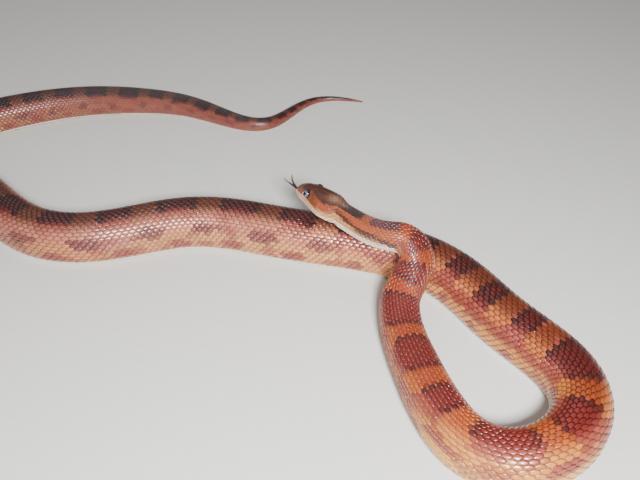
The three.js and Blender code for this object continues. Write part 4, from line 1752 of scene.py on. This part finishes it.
@dataclass(frozen=True)
class BellyKeratin(Finish):
    """Belly scale, grown wide and smooth: ivory with a satin gloss and dark pigment checks near its ends."""

    NAME = "belly_scale_keratin"
    roughness: float = 0.32
    check_at: float = 0.2
    check_half: float = 0.07
    check_soft: float = 0.03
    sheen_scale: float = 900.0

    def sockets(self, add: Adder, place: Socket) -> dict[str, object]:
        """Ivory by tint with dark checks where check sets them, and a faint sheen.

        Args:
            add: adds a node to the material.
            place: gives the place on the piece.

        Returns:
            What each of the shader's sockets takes.
        """
        tint = add("ShaderNodeAttribute", attribute_name="tint").outputs["Color"]
        leaf = add("ShaderNodeAttribute", attribute_name="leaf").outputs["Vector"]
        check = add("ShaderNodeAttribute", attribute_name="check").outputs["Vector"]
        across = add("ShaderNodeSeparateXYZ", (leaf,)).outputs["X"]
        sides = add("ShaderNodeSeparateXYZ", (check,)).outputs
        marks = []
        for middle, side in ((self.check_at, sides["X"]), (-self.check_at, sides["Y"])):
            off = add("ShaderNodeMath", (across, middle), operation="SUBTRACT")
            far = add("ShaderNodeMath", (off,), operation="ABSOLUTE")
            edges = (self.check_half, self.check_half + self.check_soft, 1.0, 0.0)
            near = add("ShaderNodeMapRange", (far, *edges), interpolation_type="SMOOTHSTEP")
            dark = add("ShaderNodeMath", (side, sides["Z"]), operation="MAXIMUM")
            marks.append(add("ShaderNodeMath", (near, dark), operation="MULTIPLY"))
        mark = add("ShaderNodeMath", tuple(marks), operation="MAXIMUM")
        inked = add("ShaderNodeMix", {0: mark, 6: tint, 7: (*linear(Palette.CHECK), 1)}, data_type="RGBA")
        sheen = add("ShaderNodeTexNoise", {"Vector": place, "Scale": self.sheen_scale, "Detail": 3.0})
        return {
            "Base Color": inked.outputs[2],
            "Roughness": add(
                "ShaderNodeMapRange", (sheen, 0.0, 1.0, self.roughness - 0.1, self.roughness + 0.12)
            ),
            "Normal": add("ShaderNodeBump", {"Strength": 0.2, "Distance": 0.1 * MM, "Height": sheen}),
            "IOR": 1.52, "Coat Weight": 0.3, "Coat Roughness": 0.25,
        }


@dataclass(frozen=True)
class WetEye(Finish):
    """Snake eye under its clear fixed scale: wet-looking and mirror smooth, a round pupil in a dull iris
    whose blue-grey is a painted reflection.
    """

    NAME = "snake_eye"
    pupil: float = 0.38
    iris: float = 0.85
    fleck: float = 0.03
    fleck_scale: float = 2600.0

    def sockets(self, add: Adder, place: Socket) -> dict[str, object]:
        """Pupil and iris by the angle from the eye's axis, with ragged edges; the iris's blue-grey is a
        painted reflection.

        Args:
            add: adds a node to the material.
            place: gives the place on the piece.

        Returns:
            What each of the shader's sockets takes.
        """
        gaze = add("ShaderNodeAttribute", attribute_name="gaze").outputs["Vector"]
        front = add("ShaderNodeSeparateXYZ", (gaze,)).outputs["Z"]
        angle = add("ShaderNodeMath", (front,), operation="ARCCOSINE")
        noise = add("ShaderNodeTexNoise", {"Vector": place, "Scale": self.fleck_scale, "Detail": 3.0})
        shift = add("ShaderNodeMapRange", (noise, 0.0, 1.0, -self.fleck, self.fleck))
        ragged = add("ShaderNodeMath", (angle, shift), operation="ADD")
        # The iris's blue-grey is a painted reflection, the cast of light on the clear scale over the eye, in
        # place of the iris's own colour
        stops = (
            (0.0, "#08080a"), (self.pupil - 0.03, "#08080a"), (self.pupil + 0.02, "#6b6468"),
            (0.56, "#5b5f6e"), (0.72, "#474c5c"), (self.iris, "#25242b"), (1.0, "#121013"),
        )
        return {
            "Base Color": set_stops(add("ShaderNodeValToRGB", (ragged,)), stops),
            "IOR": 1.4, "Roughness": 0.16, "Coat Weight": 1.0, "Coat Roughness": 0.02, "Coat IOR": 1.45,
        }


@dataclass(frozen=True)
class MoistTongue(Finish):
    """Snake tongue, a moist membrane: dark maroon to black, with paler pink tips and a wet gloss."""

    NAME = "moist_tongue"
    film_scale: float = 1500.0

    def sockets(self, add: Adder, place: Socket) -> dict[str, object]:
        """Colour by how far out a place is, under a wet film.

        Args:
            add: adds a node to the material.
            place: gives the place on the piece.

        Returns:
            What each of the shader's sockets takes.
        """
        reach = add("ShaderNodeAttribute", attribute_name="reach").outputs["Fac"]
        half = add("ShaderNodeMath", (reach, 0.5), operation="MULTIPLY")
        stops = ((0.0, "#4a2422"), (0.42, "#240f11"), (0.62, "#2a1214"), (0.85, "#52282a"), (1.0, "#8a5650"))
        film = add("ShaderNodeTexNoise", {"Vector": place, "Scale": self.film_scale, "Detail": 3.0})
        return {
            "Base Color": set_stops(add("ShaderNodeValToRGB", (half,)), stops),
            "Roughness": add("ShaderNodeMapRange", (film, 0.0, 1.0, 0.22, 0.45)),
            "Normal": add("ShaderNodeBump", {"Strength": 0.2, "Distance": 0.1 * MM, "Height": film}),
            "IOR": 1.4, "Coat Weight": 0.6, "Coat Roughness": 0.12,
        }


@dataclass(frozen=True)
class MattPaint(Finish):
    """Matt emulsion paint, rolled on the studio's floor: pale, even and faintly uneven in shade."""

    NAME = "matt_paint_floor"
    grain_scale: float = 260.0

    def sockets(self, add: Adder, place: Socket) -> dict[str, object]:
        """Two near shades in soft patches.

        Args:
            add: adds a node to the material.
            place: gives the place on the piece.

        Returns:
            What each of the shader's sockets takes.
        """
        grain = add("ShaderNodeTexNoise", {"Vector": place, "Scale": self.grain_scale, "Detail": 3.0})
        shades = {0: grain, 6: (*linear("#cfcecb"), 1), 7: (*linear("#d8d7d4"), 1)}
        blend = add("ShaderNodeMix", shades, data_type="RGBA")
        return {"Base Color": blend.outputs[2], "Roughness": 0.85, "IOR": 1.45}


@dataclass(frozen=True)
class Studio:
    """Plain pale floor, soft studio light and the camera at the photograph's angle."""

    camera_at: tuple[float, float, float] = (0.084, -0.362, 0.301)
    camera_pitch: float = 50.0
    lens: float = 38.25
    floor_size: float = 6.0
    world_colour: tuple[float, float, float, float] = (1.0, 0.97, 0.93, 1)
    world_strength: float = 0.16
    # Name, place and aim in metres, side in metres and power in watts of each square light
    lights: tuple[tuple, ...] = (
        ("key", (0.15, -0.5, 0.4), (0.03, 0.02, 0.02), 0.1, 10.0),
        ("fill", (-0.8, -0.6, 1.1), (0, 0, 0), 1.4, 4.0),
        ("back", (-0.1, 0.7, 1.3), (0, 0, 0), 1.2, 3.5),
    )

    def build(self) -> None:
        """Sets up the floor, the lights and the camera."""
        half = self.floor_size / 2 / MM
        corners = half * np.array([[-1, -1, 0], [1, -1, 0], [1, 1, 0], [-1, 1, 0]], float)
        floor = mesh_object("floor", corners, [[0, 1, 2, 3]], {})
        floor.data.materials.append(MattPaint().build())
        for name, at, aim, size, power in self.lights:
            light = bpy.data.lights.new(name, "AREA")
            light.size, light.energy = size, power
            self.place(name, light, at, (Vector(aim) - Vector(at)).to_track_quat("-Z", "Y").to_euler())
        world = bpy.data.worlds.new("studio")
        world.use_nodes = True
        background = world.node_tree.nodes["Background"].inputs
        background["Color"].default_value = self.world_colour
        background["Strength"].default_value = self.world_strength
        bpy.context.scene.world = world
        camera = bpy.data.cameras.new("camera")
        camera.sensor_width, camera.lens, camera.clip_start = 36, self.lens, 0.01
        turn = (math.radians(self.camera_pitch), 0, 0)
        bpy.context.scene.camera = self.place("camera", camera, self.camera_at, turn)

    @staticmethod
    def place(name: str, data: bpy.types.ID, at: Triple, turn: Triple) -> Piece:
        """Places a light or the camera.

        Args:
            name: its name.
            data: the light or the camera.
            at: its place in metres.
            turn: its turn about x, y and z.

        Returns:
            The linked object.
        """
        item = bpy.data.objects.new(name, data)
        item.location, item.rotation_euler = at, turn
        bpy.context.scene.collection.objects.link(item)
        return item


def dress(piece: Piece, material: Material | None = None) -> None:
    """Gives a piece its slot and material, lets it ride on the body and reports it.

    Args:
        piece: the piece.
        material: its material, or None where the mesh has one.
    """
    if material:
        piece.data.materials.append(material)
    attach(piece, "root")
    piece.data.calc_loop_triangles()
    LOG.info("%s: %d triangles", piece.name, len(piece.data.loop_triangles))


def main() -> None:
    """Builds the snake piece by piece and then the studio."""
    logging.basicConfig(level=logging.INFO, format="%(message)s")
    form = Form()
    shields, markings = HeadShields(form.head), Markings(form)
    skin = Skin(form, markings, shields).build()
    dress(skin, SnakeSkin().build())
    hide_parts(*(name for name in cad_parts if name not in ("eye_left", "eye_right", "tongue")))

    tree = RepeatTree()
    scales = Coat(form, markings, shields).build(tree, ScaleKeratin().build())
    plates = BellyPlates(form).build(tree, BellyKeratin().build())
    for piece in scales + plates:
        dress(piece)
    wet = WetEye().build()
    for side, node in ((1, "eye_left"), (-1, "eye_right")):
        eye = Eye(side).build(form)
        dress(eye, wet)
        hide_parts(node)
    tongue = Tongue().build(form)
    dress(tongue, MoistTongue().build())
    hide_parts("tongue")
    Studio().build()


if __name__ == "__main__":
    main()
